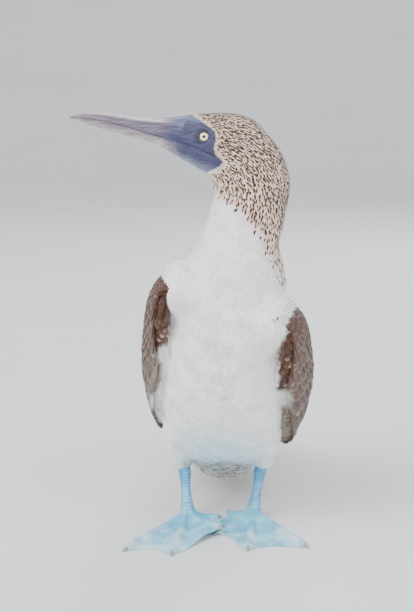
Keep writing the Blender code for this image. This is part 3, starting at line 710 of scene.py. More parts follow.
def along_body(points, reach=9 * MM):
    """For points near the skin: lie towards the tail, place along the body and angle round it."""
    lies, places, angles = [], [], []
    for part in np.array_split(points, max(1, len(points) // 4000)):
        distance = ((part[:, None, :] - AXIS_MIDDLE[None]) ** 2).sum(-1)
        distance -= distance.min(axis=1, keepdims=True)
        weight = np.exp(-distance / (2 * reach**2))
        weight /= weight.sum(axis=1, keepdims=True)
        offset = part - weight @ AXIS_MIDDLE
        front = (offset * (weight @ AXIS_FRONT)).sum(-1)
        side = (offset * (weight @ AXIS_SIDE)).sum(-1)
        lies.append(weight @ AXIS_LIE)
        places.append(weight @ AXIS_PLACE)
        angles.append(np.arctan2(side, front))
    return unit(np.vstack(lies)), np.concatenate(places), np.concatenate(angles)


def leg_lean(side):
    """How far a leg stands aside of a level one, in millimetres."""
    return (FOOT[side][0] / MM - side * LEG_OUT) * LEG_FOLLOWS


def leg_centre(side, up):
    """Middle and half sizes of the upper leg at a height, in the solid model's frame."""
    rows = np.array(THIGH[::-1], float)
    lean = leg_lean(side)
    heights = rows[:, 2]
    x = np.interp(up / MM, heights, side * rows[:, 0]) + lean
    y = np.interp(up / MM, heights, rows[:, 1]) + FOOT[side][1] / MM
    half_width = np.interp(up / MM, heights, rows[:, 3])
    half_depth = np.interp(up / MM, heights, rows[:, 4])
    return x * MM + SHIFT[0], y * MM + SHIFT[1], half_width * MM, half_depth * MM


def leg_share(points):
    """How much points belong to an upper leg, 0 to 1."""
    share = np.zeros(len(points))
    for side in (1, -1):
        x, y, half_width, half_depth = leg_centre(side, points[:, 2])
        away = np.hypot((points[:, 0] - x) / half_width, (points[:, 1] - y) / half_depth)
        share = np.maximum(share, 1 - ramp(0.85, 1.3, away))
    return share * (1 - ramp(84 * MM, 104 * MM, points[:, 2]))


# Skin

# Places along the rows of a wing at which its closed form starts and how far it goes on
WING_START = 0.02
WING_END = 10.4


def inside_outline(forward, up, outline):
    """Whether points of the head's side view lie inside a closed outline."""
    outline = np.asarray(outline, float)
    within = np.zeros(np.shape(forward), bool)
    for (ax, ay), (bx, by) in zip(outline, np.roll(outline, -1, axis=0)):
        crosses = (ay > up) != (by > up)
        with np.errstate(divide="ignore", invalid="ignore"):
            where = ax + (up - ay) / (by - ay) * (bx - ax)
        within ^= crosses & (forward < where)
    return within


BARE = FACE[:-1] + MOUTH[11:] + [(0, -40), (130, -40), (130, 26)]


def edge_distance(forward, up):
    """Distance in the head's side view from the edge between bare face and plumage, negative inside."""
    line = np.array(FACE[:-1] + MOUTH[11:], float)
    nearest = np.full(np.shape(forward), 1e9)
    for (ax, ay), (bx, by) in zip(line, line[1:]):
        length = (bx - ax) ** 2 + (by - ay) ** 2
        t = np.clip(((forward - ax) * (bx - ax) + (up - ay) * (by - ay)) / length, 0, 1)
        nearest = np.minimum(nearest, np.hypot(forward - ax - t * (bx - ax), up - ay - t * (by - ay)))
    return np.where(inside_outline(forward, up, BARE), -nearest, nearest)


def coat_depth(points, place):
    """How deep the skin lies under the tips of the plumage, in metres."""
    forward, left, up = head_coordinates(points)
    depth = np.interp(place, [0, 3, 9, 12, 15, 18], [2.2, 2.2, 1.9, 1.6, 1.3, 1.2])
    edge = edge_distance(forward, up)
    near_face = ramp(10, 0, edge) * (place > 13)
    depth = depth * (1 - near_face) + 0.8 * near_face
    depth = depth + 1.8 * ramp(-0.5, -3.5, edge) * (place > 13)
    return depth * MM


def make_skin():
    """Trunk, neck, head and upper legs as one closed skin, sunk by the depth of the coat."""

    def trunk(u, v):
        return body_surface(v * (len(SECTIONS) - 1), 2 * math.pi * u)

    def skull(u, v):
        return head_surface(9.4 * v, 2 * math.pi * u, False)

    parts = [grown("skin", tube(64, 140, trunk)), grown("skull", tube(48, 50, skull))]
    for side in (1, -1):

        def leg(u, v, side=side):
            rows = smooth(THIGH, v * (len(THIGH) - 1))
            x = side * rows[:, 0] + leg_lean(side) + rows[:, 3] * np.cos(2 * math.pi * u)
            y = rows[:, 1] + FOOT[side][1] / MM + rows[:, 4] * np.sin(2 * math.pi * u)
            return np.stack([x, y, rows[:, 2]], axis=-1) * MM + SHIFT

        parts.append(grown("leg", tube(32, 30, leg)))

        def shoulder(u, v, side=side):
            """The front of a folded wing, swelling out where the white feathers lap over it."""
            place = WING_START + v * 6
            values = smooth(WING_ROWS[side], place)
            outer = u < 0.5
            chord = np.where(outer, 1 - 4 * u, -3 + 4 * u)
            bow = np.sqrt(np.maximum(1 - chord**2, 0)) ** 0.7
            first = wing_surface(side, place, chord, np.where(outer, 0, -values[:, 8] * bow))
            white = wing_marks(side, first)[0]
            middle = -values[:, 8] * bow / 2
            fill = (3.4 + 9 * ramp(3.6, 2.2, place) * bow) * MM
            swell = np.where(outer, 3.4 * MM, -values[:, 8] * bow * 1.8 - fill)
            # where the wing isn't white, the form lies hidden in its middle
            swell = swell * white + (middle + np.where(outer, 0.5, -0.5) * MM) * (1 - white)
            return wing_surface(side, place, chord * (0.7 + 0.34 * white), swell)

        parts.append(grown("shoulder", tube(72, 110, shoulder)))
        bm = bmesh.new()
        bmesh.ops.create_uvsphere(bm, u_segments=32, v_segments=20, radius=1)
        bmesh.ops.scale(bm, verts=bm.verts, vec=SHOULDER_SIZE)
        bmesh.ops.translate(bm, verts=bm.verts, vec=SHOULDER_FILL[side])
        parts.append(grown("shoulder_fill", bm))
    skin = parts[0]
    bm = bmesh.new()
    for part in parts:
        bm.from_mesh(part.data)
    bm.to_mesh(skin.data)
    bm.free()
    for part in parts[1:]:
        bpy.data.objects.remove(part)
    remesh = skin.modifiers.new("remesh", "REMESH")
    remesh.mode = "VOXEL"
    remesh.voxel_size = SKIN_VOXEL
    evaluated(skin)
    bm = bmesh.new()
    bm.from_mesh(skin.data)
    soften(bm, bm.verts, 3)
    # the creases round the shoulders are filled more softly
    places = np.array([vertex.co[:] for vertex in bm.verts])
    middles = [np.array(middle) for middle in SHOULDER_FILL.values()]
    away = np.minimum(*(np.linalg.norm(places - middle, axis=1) for middle in middles))
    for reach in SHOULDER_REACHES:
        soften(bm, [vertex for vertex, take in zip(bm.verts, away < reach * MM) if take], 8)
    bm.to_mesh(skin.data)
    bm.free()
    points, normals = points_of(skin.data), normals_of(skin.data)
    lie, place, angle = along_body(points)
    points = points - normals * coat_depth(points, place)[:, None]
    # the skin lies deeper behind the eyeballs
    forward, left, up = head_coordinates(points)
    for side in (1, -1):
        aside = math.cos(EYE_TURN) * forward - math.sin(EYE_TURN) * side * (left - side * EYE_OUT / MM)
        away = np.hypot(aside, up)
        floor = EYE_OUT / MM - np.sqrt(np.maximum(EYE_HOLLOW**2 - away**2, 0))
        deep = (away < EYE_HOLLOW) & (side * left > floor) & (side * left > 2)
        left = np.where(deep, side * floor, left)
    points = np.where((place > 14)[:, None], head_place(forward * MM, left * MM, up * MM), points)
    move_points(skin.data, points)
    shade_smooth(skin.data)
    return skin


def skin_colours(points, place, angle, wobble):
    """The markings of the plumage, as the skin under it has them."""
    base, back = body_colours(points, place, angle, wobble)
    return blend(base, blend(chosen("cream"), chosen("brown"), 0.5), streak_share(points) * 0.85)


def wing_solid(side, grow, around, along):
    """The closed form of a folded wing under its feathers."""

    def form(u, v):
        place = WING_START + v * WING_END
        values = smooth(WING_ROWS[side], place)
        outer = u < 0.5
        chord = np.where(outer, 1 - 4 * u, -3 + 4 * u)
        bow = np.sqrt(np.maximum(1 - chord**2, 0))
        rise = np.where(outer, grow, -values[:, 8] * bow**0.7 - grow)
        return wing_surface(side, place, chord * (1 + grow / np.maximum(values[:, 3], 4 * MM)), rise)

    return tube(around, along, form)


# Plumage over the skin

# Across a vane: left edge, ridge, right edge, underside
ACROSS = np.array([-1.0, 0.0, 1.0, 0.0])


def joined(name, points, quads, caps):
    """One mesh object from arrays of points, four-sided faces and many-sided end faces."""
    mesh = bpy.data.meshes.new(name)
    mesh.vertices.add(len(points))
    mesh.vertices.foreach_set("co", np.asarray(points, float).ravel())
    corners = np.concatenate([quads.ravel(), caps.ravel()]).astype(np.int32)
    starts = np.concatenate([np.arange(len(quads)) * 4, quads.size + np.arange(len(caps)) * caps.shape[1]])
    mesh.loops.add(len(corners))
    mesh.loops.foreach_set("vertex_index", corners)
    mesh.polygons.add(len(starts))
    mesh.polygons.foreach_set("loop_start", starts.astype(np.int32))
    shade_smooth(mesh)
    mesh.update(calc_edges=True)
    mesh.validate()
    return shown(name, mesh)


def vane_faces(count, stations, ring):
    """Faces of a number of closed vanes, each of rings of vertices from root to tip."""
    first = np.arange(ring)
    after = (first + 1) % ring
    start = (np.arange(stations - 1) * ring)[:, None]
    quads = np.stack([start + first, start + after, start + ring + after, start + ring + first], axis=-1)
    caps = np.stack([np.arange(ring)[::-1], (stations - 1) * ring + np.arange(ring)])
    offset = (np.arange(count) * stations * ring)[:, None, None]
    return (quads.reshape(1, -1, 4) + offset).reshape(-1, 4), (caps[None] + offset).reshape(-1, ring)


class Surface:
    """A mesh to lay feathers on, read by nearest point."""

    def __init__(self, mesh):
        self.points = points_of(mesh)
        self.normals = normals_of(mesh)
        mesh.calc_loop_triangles()
        self.triangles = np.empty(len(mesh.loop_triangles) * 3, np.int32)
        mesh.loop_triangles.foreach_get("vertices", self.triangles)
        self.triangles = self.triangles.reshape(-1, 3)
        self.tree = BVHTree.FromPolygons(self.points.tolist(), self.triangles.tolist())

    def nearest(self, points):
        """Nearest points of the surface and its smooth normals there."""
        found = [self.tree.find_nearest(Vector(point)) for point in points]
        places = np.array([hit[0][:] for hit in found])
        corners = self.triangles[[hit[2] for hit in found]]
        away = np.linalg.norm(self.points[corners] - places[:, None], axis=-1) + 1e-6
        weight = (1 / away) / (1 / away).sum(axis=1, keepdims=True)
        return places, unit((self.normals[corners] * weight[..., None]).sum(axis=1))

    def scatter(self, spacing, keep, seed):
        """Evenly strewn points, spacing apart, where keep allows, with their normals."""
        draw = np.random.default_rng(seed)
        corners = self.points[self.triangles]
        middle = corners.mean(axis=1)
        allowed = keep(middle)
        gap = spacing(middle)
        cross = np.cross(corners[:, 1] - corners[:, 0], corners[:, 2] - corners[:, 0])
        wanted = np.where(allowed, np.linalg.norm(cross, axis=1) / 2 / gap**2, 0) * 3.2
        picked = draw.choice(len(wanted), int(wanted.sum()), p=wanted / wanted.sum())
        share = draw.random((len(picked), 2))
        share = np.where(share.sum(axis=1, keepdims=True) > 1, 1 - share, share)
        weight = np.column_stack([1 - share.sum(axis=1), share])
        points = (corners[picked] * weight[..., None]).sum(axis=1)
        normals = unit((self.normals[self.triangles[picked]] * weight[..., None]).sum(axis=1))
        gaps = gap[picked]
        keys = np.floor(points / gaps.max()).astype(int)
        grid, taken = {}, []
        around = [(i, j, k) for i in (-1, 0, 1) for j in (-1, 0, 1) for k in (-1, 0, 1)]
        for index, (point, key, near) in enumerate(zip(points.tolist(), keys.tolist(), gaps.tolist())):
            cells = (grid.get((key[0] + i, key[1] + j, key[2] + k), ()) for i, j, k in around)
            others = (other for cell in cells for other in cell)
            if all(sum((a - b) ** 2 for a, b in zip(other, point)) >= near * near for other in others):
                grid.setdefault(tuple(key), []).append(point)
                taken.append(index)
        return points[taken], normals[taken]


# Small feathers: place along, share of the width
TRUNK_SHAPE = [(0, 0.5), (0.5, 1.0), (0.86, 0.78), (1, 0.2)]
LANCE_SHAPE = [(0, 0.5), (0.4, 1.0), (0.75, 0.7), (1, 0.1)]


def tufts(points):
    """A soft uneven wave over the body, -1 to 1, as wide as a tuft of feathers."""
    draw = np.random.default_rng(9)
    wave = np.zeros(len(points))
    for _ in range(14):
        way = draw.normal(0, 1, 3)
        way *= 2 * math.pi / (draw.uniform(11, 26) * MM) / np.linalg.norm(way)
        wave += np.sin(points @ way + draw.uniform(0, 6.3))
    return np.clip(wave / 4, -1, 1)


def vanes(name, rings, across, shape):
    """One object of closed vanes, given ring by ring from their roots, with the place across and along of
    every vertex."""
    points = np.stack(rings, axis=1)
    count, stations, ring = points.shape[:3]
    made = joined(name, points.reshape(-1, 3), *vane_faces(count, stations, ring))
    along = np.array(shape)[:, :1]
    return made, *(np.broadcast_to(values, (count, stations, ring)) for values in (across, along))


def lay_feathers(name, surface, roots, normals, lies, length, width, lift, shape, thick, tilt=0.0):
    """Small closed vanes over a surface, each following it from its root. Returns the object, with the
    place across and along of every vertex."""
    count = len(roots)
    lies = unit(lies - normals * (lies * normals).sum(axis=1, keepdims=True))
    rings, shading = [], []
    draw = np.random.default_rng(count)
    turn = (tilt * tufts(roots) + tilt * draw.normal(0, 0.55, count))[:, None]
    for along, share in shape:
        guess = roots + lies * (length * along)[:, None]
        places, ups = surface.nearest(guess) if along else (roots, normals)
        cross = unit(np.cross(lies, ups))
        height = lift * along - 0.3 * MM * (1 - along)
        half = width / 2 * share
        edge_fall = np.minimum(half**2 / (2 * 26 * MM), 0.6 * MM)
        body = thick * (1 - 0.6 * along)
        ring, facing = [], []
        for index, aside in enumerate(ACROSS):
            up = height - edge_fall * aside**2 + (body / 2 if index == 1 else -body / 2 if index == 3 else 0)
            ring.append(places + cross * (half * aside)[:, None] + ups * up[:, None])
            facing.append(unit(ups + cross * (0.26 * aside) + lies * (turn + 0.2 * along - 0.1)))
        rings.append(np.stack(ring, axis=1))
        shading.append(np.stack(facing, axis=1))
    made, across, along = vanes(name, rings, ACROSS, shape)
    # upper faces are shaded with the skin under them, under sides the other way, and both ends along the lie
    quads = vane_faces(count, len(shape), len(ACROSS))[0]
    upper = np.stack(shading, axis=1).reshape(-1, 3)
    below = np.tile([False, False, True, True], len(quads) // 4)[:, None, None]
    around = np.where(below, -upper[quads], upper[quads]).reshape(-1, 3)
    ends = np.repeat(np.stack([-lies, lies], axis=1).reshape(-1, 3), 4, axis=0)
    made.data.normals_split_custom_set(np.vstack([around, ends]))
    return made, across, along


def map_vanes(made, across, along, u, v):
    """UV maps of vanes: a small patch each at its root's place, and across and along it."""
    patch = np.stack([u[:, None, None] + 0.0015 * across, v[:, None, None] + 0.003 * (along - 0.5)], axis=-1)
    unwrap(made, np.clip(patch, 0, 1).reshape(-1, 2))
    unwrap(made, np.stack([across, along], axis=-1).reshape(-1, 2), "Vane")


# Body feathers at places along the bird, in millimetres: length, width, gap between roots. The settings of
# the sidebar stand for the length and the gap at the breast.
SIZE_PLACES = [0, 2, 5, 9, 11, 13, 15.5, 18]
LENGTHS = [13, 14, 12.5, 11, 9, 6.6, 5.6, 4.6]
WIDTHS = [6, 6.4, 5.8, 5, 3.6, 2.5, 2.1, 1.8]
GAPS = [2.4, 2.4, 2.25, 2.1, 1.75, 1.35, 1.15, 1.0]
BREAST_LENGTH = 12.5
BREAST_GAP = 2.25


def feather_sizes(place, legs, forehead):
    """Length and width of body feathers along the bird."""
    length = np.interp(place, SIZE_PLACES, LENGTHS)
    width = np.interp(place, SIZE_PLACES, WIDTHS)
    length = length * (1 - 0.35 * legs) * (1 - 0.45 * forehead)
    length = length * chosen("feather_length") / (BREAST_LENGTH * MM)
    width = width * (1 - 0.45 * legs)
    return length * MM, width * MM


def feather_gap(points):
    lie, place, angle = along_body(points)
    gap = np.interp(place, SIZE_PLACES, GAPS)
    return gap * (1 - 0.25 * leg_share(points)) * chosen("feather_spacing") / BREAST_GAP


# Name, first and last place along the body, seed
COATS = [
    ("plumage_vent", -1, 2.4, 11),
    ("plumage_belly", 2.4, 4.2, 12),
    ("plumage_underside", 4.2, 6.0, 13),
    ("plumage_breast", 6.0, 7.8, 14),
    ("plumage_chest", 7.8, 9.8, 15),
    ("plumage_throat", 9.8, 11.8, 16),
    ("plumage_neck", 11.8, 13.4, 17),
    ("plumage_nape", 13.4, 15.4, 18),
    ("plumage_head", 15.4, 30, 19),
]


def inside(tree, point, way):
    """Whether a point is inside a closed form, by how often the way out crosses its wall."""
    crossings = 0
    place = Vector(point)
    for _ in range(8):
        hit, normal, face, distance = tree.ray_cast(place, way)
        if hit is None:
            break
        crossings += 1
        place = hit + way * 1e-6
    return crossings % 2 == 1


def under_wings(wings, points):
    """Which points lie well inside a wing's form."""
    under = np.zeros(len(points), bool)
    for side, tree in wings:
        hidden = np.zeros(len(points), bool)
        ways = [Vector((side, 0.02, 0.03)).normalized(), Vector((side, -0.31, 0.17)).normalized()]
        for index, point in enumerate(points):
            distance = tree.find_nearest(Vector(point))[3]
            if 1.5 * MM < distance < 22 * MM and any(inside(tree, point, way) for way in ways):
                hidden[index] = True
        hidden &= wing_marks(side, points)[0] < 0.3
        under |= hidden
    return under


def make_coat(skin):
    """All the body feathers, a piece for each stretch of the bird."""
    surface = Surface(skin.data)
    wings = []
    for side in (1, -1):
        bm = wing_solid(side, 0.0, 24, 40)
        bm.normal_update()
        wings.append((side, BVHTree.FromBMesh(bm)))
        bm.free()
    material = feather_material("body_feathers", 3.0, 0.1, 0.8, 0.93)
    for name, first, last, seed in COATS:

        def keep(points, first=first, last=last):
            lie, place, angle = along_body(points)
            forward, left, up = head_coordinates(points)
            bare = (edge_distance(forward, up) < 0.4) & (place > 13)
            ankle = (points[:, 2] < 49.5 * MM) & (leg_share(points) > 0.5)
            return (place >= first) & (place < last) & ~bare & ~ankle

        roots, normals = surface.scatter(feather_gap, keep, seed)
        seen = ~under_wings(wings, roots)
        roots, normals = roots[seen], normals[seen]
        draw = np.random.default_rng(seed + 100)
        count = len(roots)
        lies, place, angle = along_body(roots)
        legs = leg_share(roots)
        forward, left, up = head_coordinates(roots)
        forehead = ramp(-12, 4, forward) * (place > 14)
        lies = unit(blend(lies, np.array([0, 0, -1.0]), legs))
        cross = np.cross(lies, normals)
        lies = lies + cross * draw.normal(0, 0.10, count)[:, None]
        length, width = feather_sizes(place, legs, forehead)
        length = length * draw.uniform(0.85, 1.15, count)
        width = width * draw.uniform(0.85, 1.12, count)
        # a feather that would bend sharply into a crease is left out
        level = unit(lies - normals * (lies * normals).sum(axis=1, keepdims=True))
        fits = (surface.nearest(roots + level * length[:, None])[1] * normals).sum(axis=1) > 0.45
        roots, normals, lies, place, angle = (item[fits] for item in (roots, normals, lies, place, angle))
        length, width, count = length[fits], width[fits], int(fits.sum())
        wobble = draw.random(count)
        streaks = streak_share(roots)
        lift = np.interp(place, [8, 13], [1.05, 0.9]) * draw.uniform(0.6, 1.0, count) * chosen("feather_lift")
        shape = LANCE_SHAPE if first > 11 else TRUNK_SHAPE
        made, across, along = lay_feathers(
            name, surface, roots, normals, lies, length, width, lift, shape, 0.35 * MM, 0.17
        )
        base, back = body_colours(roots, place, angle, wobble)
        light = blend(chosen("cream"), blend(chosen("brown"), chosen("cream"), 0.45), 0.7 * wobble**2)
        base = blend(base, light, np.clip(streaks * 1.2, 0, 1))
        colour = np.broadcast_to(base[:, None, None], (count, len(shape), 4, 3))
        # pale tips on the brown back
        colour = blend(colour, WARM_WHITE, 0.6 * ramp(0.8, 1.0, along) * back[:, None, None])
        # the roots, under the tips of the neighbouring feathers, are painted a little darker as shade
        colour = colour * (1 - 0.04 * ramp(0.6, 0.0, along))[..., None]
        paint(made, colour.reshape(-1, 3))
        map_vanes(made, across, along, angle / (2 * math.pi) + 0.5, np.clip(place / 20, 0, 1))
        settle(made, material, "torso" if place.mean() < 9 else "neck" if place.mean() < 14.5 else "head")
    make_streaks(surface, material)


def make_streaks(surface, material):
    """The narrow dark feathers of crown, cheeks, nape and hind neck, each clear of the next."""

    def gap(points):
        lie, place, angle = along_body(points)
        share = np.interp(place, [10, 12.5, 14, 16, 18], [1.53, 1.18, 1.0, 0.82, 0.68])
        return share * chosen("streak_spacing")

    def keep(points):
        forward, left, up = head_coordinates(points)
        lie, place, angle = along_body(points)
        bare = (edge_distance(forward, up) < 1.6) & (place > 13)
        return (streak_share(points) > 0.04) & (place > 9) & ~bare

    roots, normals = surface.scatter(gap, keep, 41)
    draw = np.random.default_rng(42)
    seen = draw.random(len(roots)) < streak_share(roots) ** 0.8
    roots, normals = roots[seen], normals[seen]
    count = len(roots)
    lies, place, angle = along_body(roots)
    lies = lies + np.cross(lies, normals) * draw.normal(0, 0.12, count)[:, None]
    length = np.interp(place, [10, 13, 16, 18], [7.0, 6.1, 4.9, 3.9]) * draw.uniform(0.8, 1.2, count) * MM
    width = np.interp(place, [10, 13, 16, 18], [2.1, 1.85, 1.5, 1.25]) * draw.uniform(0.75, 1.25, count) * MM
    lift = draw.uniform(1.0, 1.25, count) * MM
    made, across, along = lay_feathers(
        "plumage_streaks", surface, roots, normals, lies, length, width, lift, LANCE_SHAPE, 0.4 * MM
    )
    base = blend(chosen("streak"), chosen("brown"), 0.55 * draw.random(count) ** 2)
    paint(made, blend(base[:, None, None], chosen("rust"), 0.4 * ramp(0.7, 1.0, along)).reshape(-1, 3))
    map_vanes(made, across, along, angle / (2 * math.pi) + 0.5, np.clip(place / 20, 0, 1))
    settle(made, material, "head")


# Large feathers of wings and tail: place along, share of the width
VANE_SHAPE = [
    (0, 0.62), (0.18, 0.86), (0.4, 0.98), (0.6, 1.0), (0.78, 0.92), (0.9, 0.7), (0.97, 0.4), (1, 0.12),
]
POINTED_SHAPE = [
    (0, 0.6), (0.2, 0.9), (0.45, 1.0), (0.65, 0.9), (0.8, 0.7), (0.91, 0.45), (0.97, 0.24), (1, 0.06),
]
# Their cross section, as shares of the half width, and which points are on the underside
VANE_ACROSS = np.array([-1.0, -0.5, 0.0, 0.5, 1.0, 0.5, 0.0, -0.5])
VANE_UNDER = np.array([0, 0, 0, 0, 0, 1, 1, 1])


# Thickness of a large vane, and how deep its root lies
VANE_THICK = 0.5 * MM
VANE_SINK = 1.6 * MM


def large_vanes(name, at, roots, tips, half_width, rise, tilt, shape=VANE_SHAPE):
    """Closed vanes with a raised shaft over a surface that the function at gives from place, chord, reach
    aside and rise. Returns the object and every vertex's place across and along."""
    rings = []
    for along, share in shape:
        middle = roots + (tips - roots) * along
        ring_points = []
        for aside, under in zip(VANE_ACROSS, VANE_UNDER):
            height = -VANE_SINK + (rise + VANE_SINK) * along**0.8 + tilt * aside * share
            height = height + (0.35 * MM if aside == 0 and not under else 0.12 * MM * (1 - abs(aside)))
            height = height - under * VANE_THICK
            ring_points.append(at(middle[:, 0], middle[:, 1], aside * share * half_width, height))
        rings.append(np.stack(ring_points, axis=1))
    return vanes(name, rings, VANE_ACROSS, shape)


def row_of(first, last, count):
    share = np.linspace(0, 1, count)[:, None]
    return np.array(first, float) * (1 - share) + np.array(last, float) * share


def join_pieces(name, pieces):
    """Joins objects into the first, with their UV maps and colours."""
    with bpy.context.temp_override(
        active_object=pieces[0], object=pieces[0], selected_objects=pieces, selected_editable_objects=pieces
    ):
        bpy.ops.object.join()
    pieces[0].name = name
    pieces[0].data.name = name
    return pieces[0]


# Tiers of wing feathers, from the shoulder on: count, first and last root (place, chord), first and last
# tip, half width, rise of the tips, kind
WING_TIERS = [
    (9, (0.15, -0.8), (0.35, 0.8), (0.75, -0.8), (0.95, 0.8), 2.6, 1.3, "lesser"),
    (11, (0.35, -0.85), (0.6, 0.85), (1.0, -0.85), (1.3, 0.85), 3.2, 1.5, "lesser"),
    (13, (0.6, -0.88), (0.85, 0.88), (1.32, -0.88), (1.6, 0.86), 3.8, 1.7, "lesser"),
    (15, (0.85, -0.9), (1.1, 0.88), (1.65, -0.9), (1.9, 0.86), 4.4, 1.8, "lesser"),
    (17, (1.15, -0.92), (1.4, 0.88), (2.0, -0.9), (2.25, 0.86), 4.8, 1.9, "lesser"),
    (18, (1.5, -0.92), (1.75, 0.88), (2.35, -0.9), (2.65, 0.86), 5.2, 2.0, "lesser"),
    (18, (1.85, -0.93), (2.1, 0.88), (2.75, -0.92), (3.05, 0.86), 5.6, 2.1, "lesser"),
    (17, (2.2, -0.93), (2.5, 0.86), (3.15, -0.92), (3.5, 0.84), 6.4, 2.2, "median"),
    (16, (2.6, -0.93), (2.95, 0.86), (3.65, -0.92), (4.1, 0.84), 7.2, 2.3, "median"),
    (15, (3.0, -0.93), (3.45, 0.84), (4.3, -0.92), (4.8, 0.82), 8.0, 2.4, "greater"),
    (15, (3.7, -0.93), (4.2, 0.84), (5.2, -0.92), (5.8, 0.82), 8.4, 2.4, "greater"),
    (14, (4.5, -0.9), (5.0, 0.84), (6.7, -0.88), (7.6, 0.82), 8.2, 2.5, "secondary"),
    (13, (5.4, -0.86), (5.9, 0.84), (7.6, -0.84), (8.4, 0.8), 7.6, 2.4, "secondary"),
    (10, (6.2, -0.72), (6.8, 0.6), (11.0, -0.3), (8.6, 0.72), 5.8, 1.9, "primary"),
]
SCAPULARS = [
    (9, (1.4, 0.62), (4.2, 0.8), (3.0, 0.6), (6.2, 0.9), 8.5, 3.4, "scapular"),
    (8, (2.1, 0.42), (4.6, 0.66), (4.1, 0.46), (7.0, 0.84), 9.0, 3.8, "scapular"),
    (7, (2.8, 0.78), (5.2, 0.86), (5.0, 0.82), (7.6, 0.96), 9.0, 4.2, "scapular"),
]
DARKNESS = {"lesser": 0.4, "median": 0.5, "greater": 0.65, "secondary": 0.75, "primary": 1.0, "scapular": 0.5}


def wing_colours(kind, roots, across, along, draw):
    """Browns of a wing's feathers, each with its edge, shaft and tip."""
    count = len(roots)
    wobble = draw.random(count)
    base = blend(chosen("brown"), chosen("dark_brown"), np.clip(DARKNESS[kind] + 0.35 * (wobble - 0.5), 0, 1))
    if kind == "primary":
        base = blend(base, tint(38, 30, 26), 0.75)
    edge = blend(chosen("rust"), chosen("cream"), 0.25 + 0.35 * draw.random(count))
    if kind in ("secondary", "primary"):
        edge = blend(edge, base, 0.45)
    away = np.abs(across)
    rim = ramp(0.7, 1.0, away) * 0.6 + ramp(0.88, 1.0, along) * 0.8
    rim = np.clip(rim, 0, 1) * (0.4 + 0.5 * wobble)[:, None, None]
    colour = blend(base[:, None, None], edge[:, None, None], rim)
    return blend(colour, 0.7 * chosen("dark_brown"), 0.45 * (away < 0.1))


# Where the white body feathers end over each wing, seen from the front: height, distance from the middle
WHITE_EDGE = {
    1: [(88, 74), (155, 73.5), (184, 74), (192, 79), (207, 81.5), (219, 88), (227, 95), (236, 99)],
    -1: [
        (90, 36), (120, 36), (128, 41), (137, 42), (144, 36), (150, 33), (167, 30.5), (181, 27), (195, 22.5),
        (222, 21), (252, 23), (262, 30),
    ],
}
# Pale patch and barred strip beside it: heights from and to, width
WING_MARKS = {1: ((131, 145), (88, 131), 11), -1: ((168, 184), (140, 168), 7)}
# How far forward the lower edge of a wing lies at each height
WING_FRONT = [(104, -76), (134, -115), (167, -150), (203, -177), (226, -193), (260, -200)]
# Where the one who looks stands, and how far ahead the breast is, in the solid model's frame
FRONT_PLACE = np.array([105, -1237, 420])
BREAST_Y = -150


def wing_marks(side, points):
    """How white and how barred the wing's feathers are at points, 0 to 1. Both are laid out as they stand
    before the breast for someone who looks at it from the front."""
    points = points / MM
    ahead = points - FRONT_PLACE
    sight = FRONT_PLACE + ahead * ((BREAST_Y - FRONT_PLACE[1]) / ahead[:, 1:2])
    x, z = side * sight[:, 0], sight[:, 2]
    edge, front = np.array(WHITE_EDGE[side], float), np.array(WING_FRONT, float)
    ragged = 0.9 * np.sin(points[:, 2] * 1.3) + 0.7 * np.sin(points[:, 2] * 0.61 + points[:, 1] * 0.4)
    beyond = x - np.interp(z, edge[:, 0], edge[:, 1]) + ragged
    behind = points[:, 1] - np.interp(points[:, 2], front[:, 0], front[:, 1])
    white = ramp(1.4, -1.4, beyond) * ramp(40, 30, behind)
    (low, high), (bars_low, bars_high), width = WING_MARKS[side]
    strip = ramp(width + 2, width - 2, beyond) * ramp(24, 15, behind)
    patch = strip * ramp(low - 2, low + 2, z) * ramp(high + 2, high - 2, z)
    bars = strip * ramp(bars_low - 6, bars_low + 6, z) * ramp(bars_high + 2, bars_high - 2, z)
    return np.maximum(white, 0.9 * patch), bars


def mark_wing(made, side, colours):
    """Lays the white and the bars over the colours of a wing piece."""
    points = points_of(made.data)
    white, bars = wing_marks(side, points)
    stripe = bars * (0.35 + 0.4 * (np.sin(points[:, 2] / MM * 2.1) > 0))
    paint(made, blend(blend(colours, VENT_GREY, stripe), chosen("white"), white))


def wing_coordinates(side, points):
    """Place along a wing and chord of the nearest point of its outer or inner face."""
    place = np.repeat(np.linspace(WING_START, WING_END, 140), 25)
    chord = np.tile(np.linspace(-1, 1, 25), 140)
    values = smooth(WING_ROWS[side], place)
    inner = -values[:, 8] * np.sqrt(np.maximum(1 - chord**2, 0)) ** 0.7
    samples = np.vstack([wing_surface(side, place, chord), wing_surface(side, place, chord, inner)])
    nearest = np.concatenate(
        [((part[:, None] - samples[None]) ** 2).sum(-1).argmin(axis=1) for part in np.array_split(points, 60)]
    )
    return place[nearest % len(place)], chord[nearest % len(place)], nearest < len(place)


COVERT_GAP = 2.9 * MM


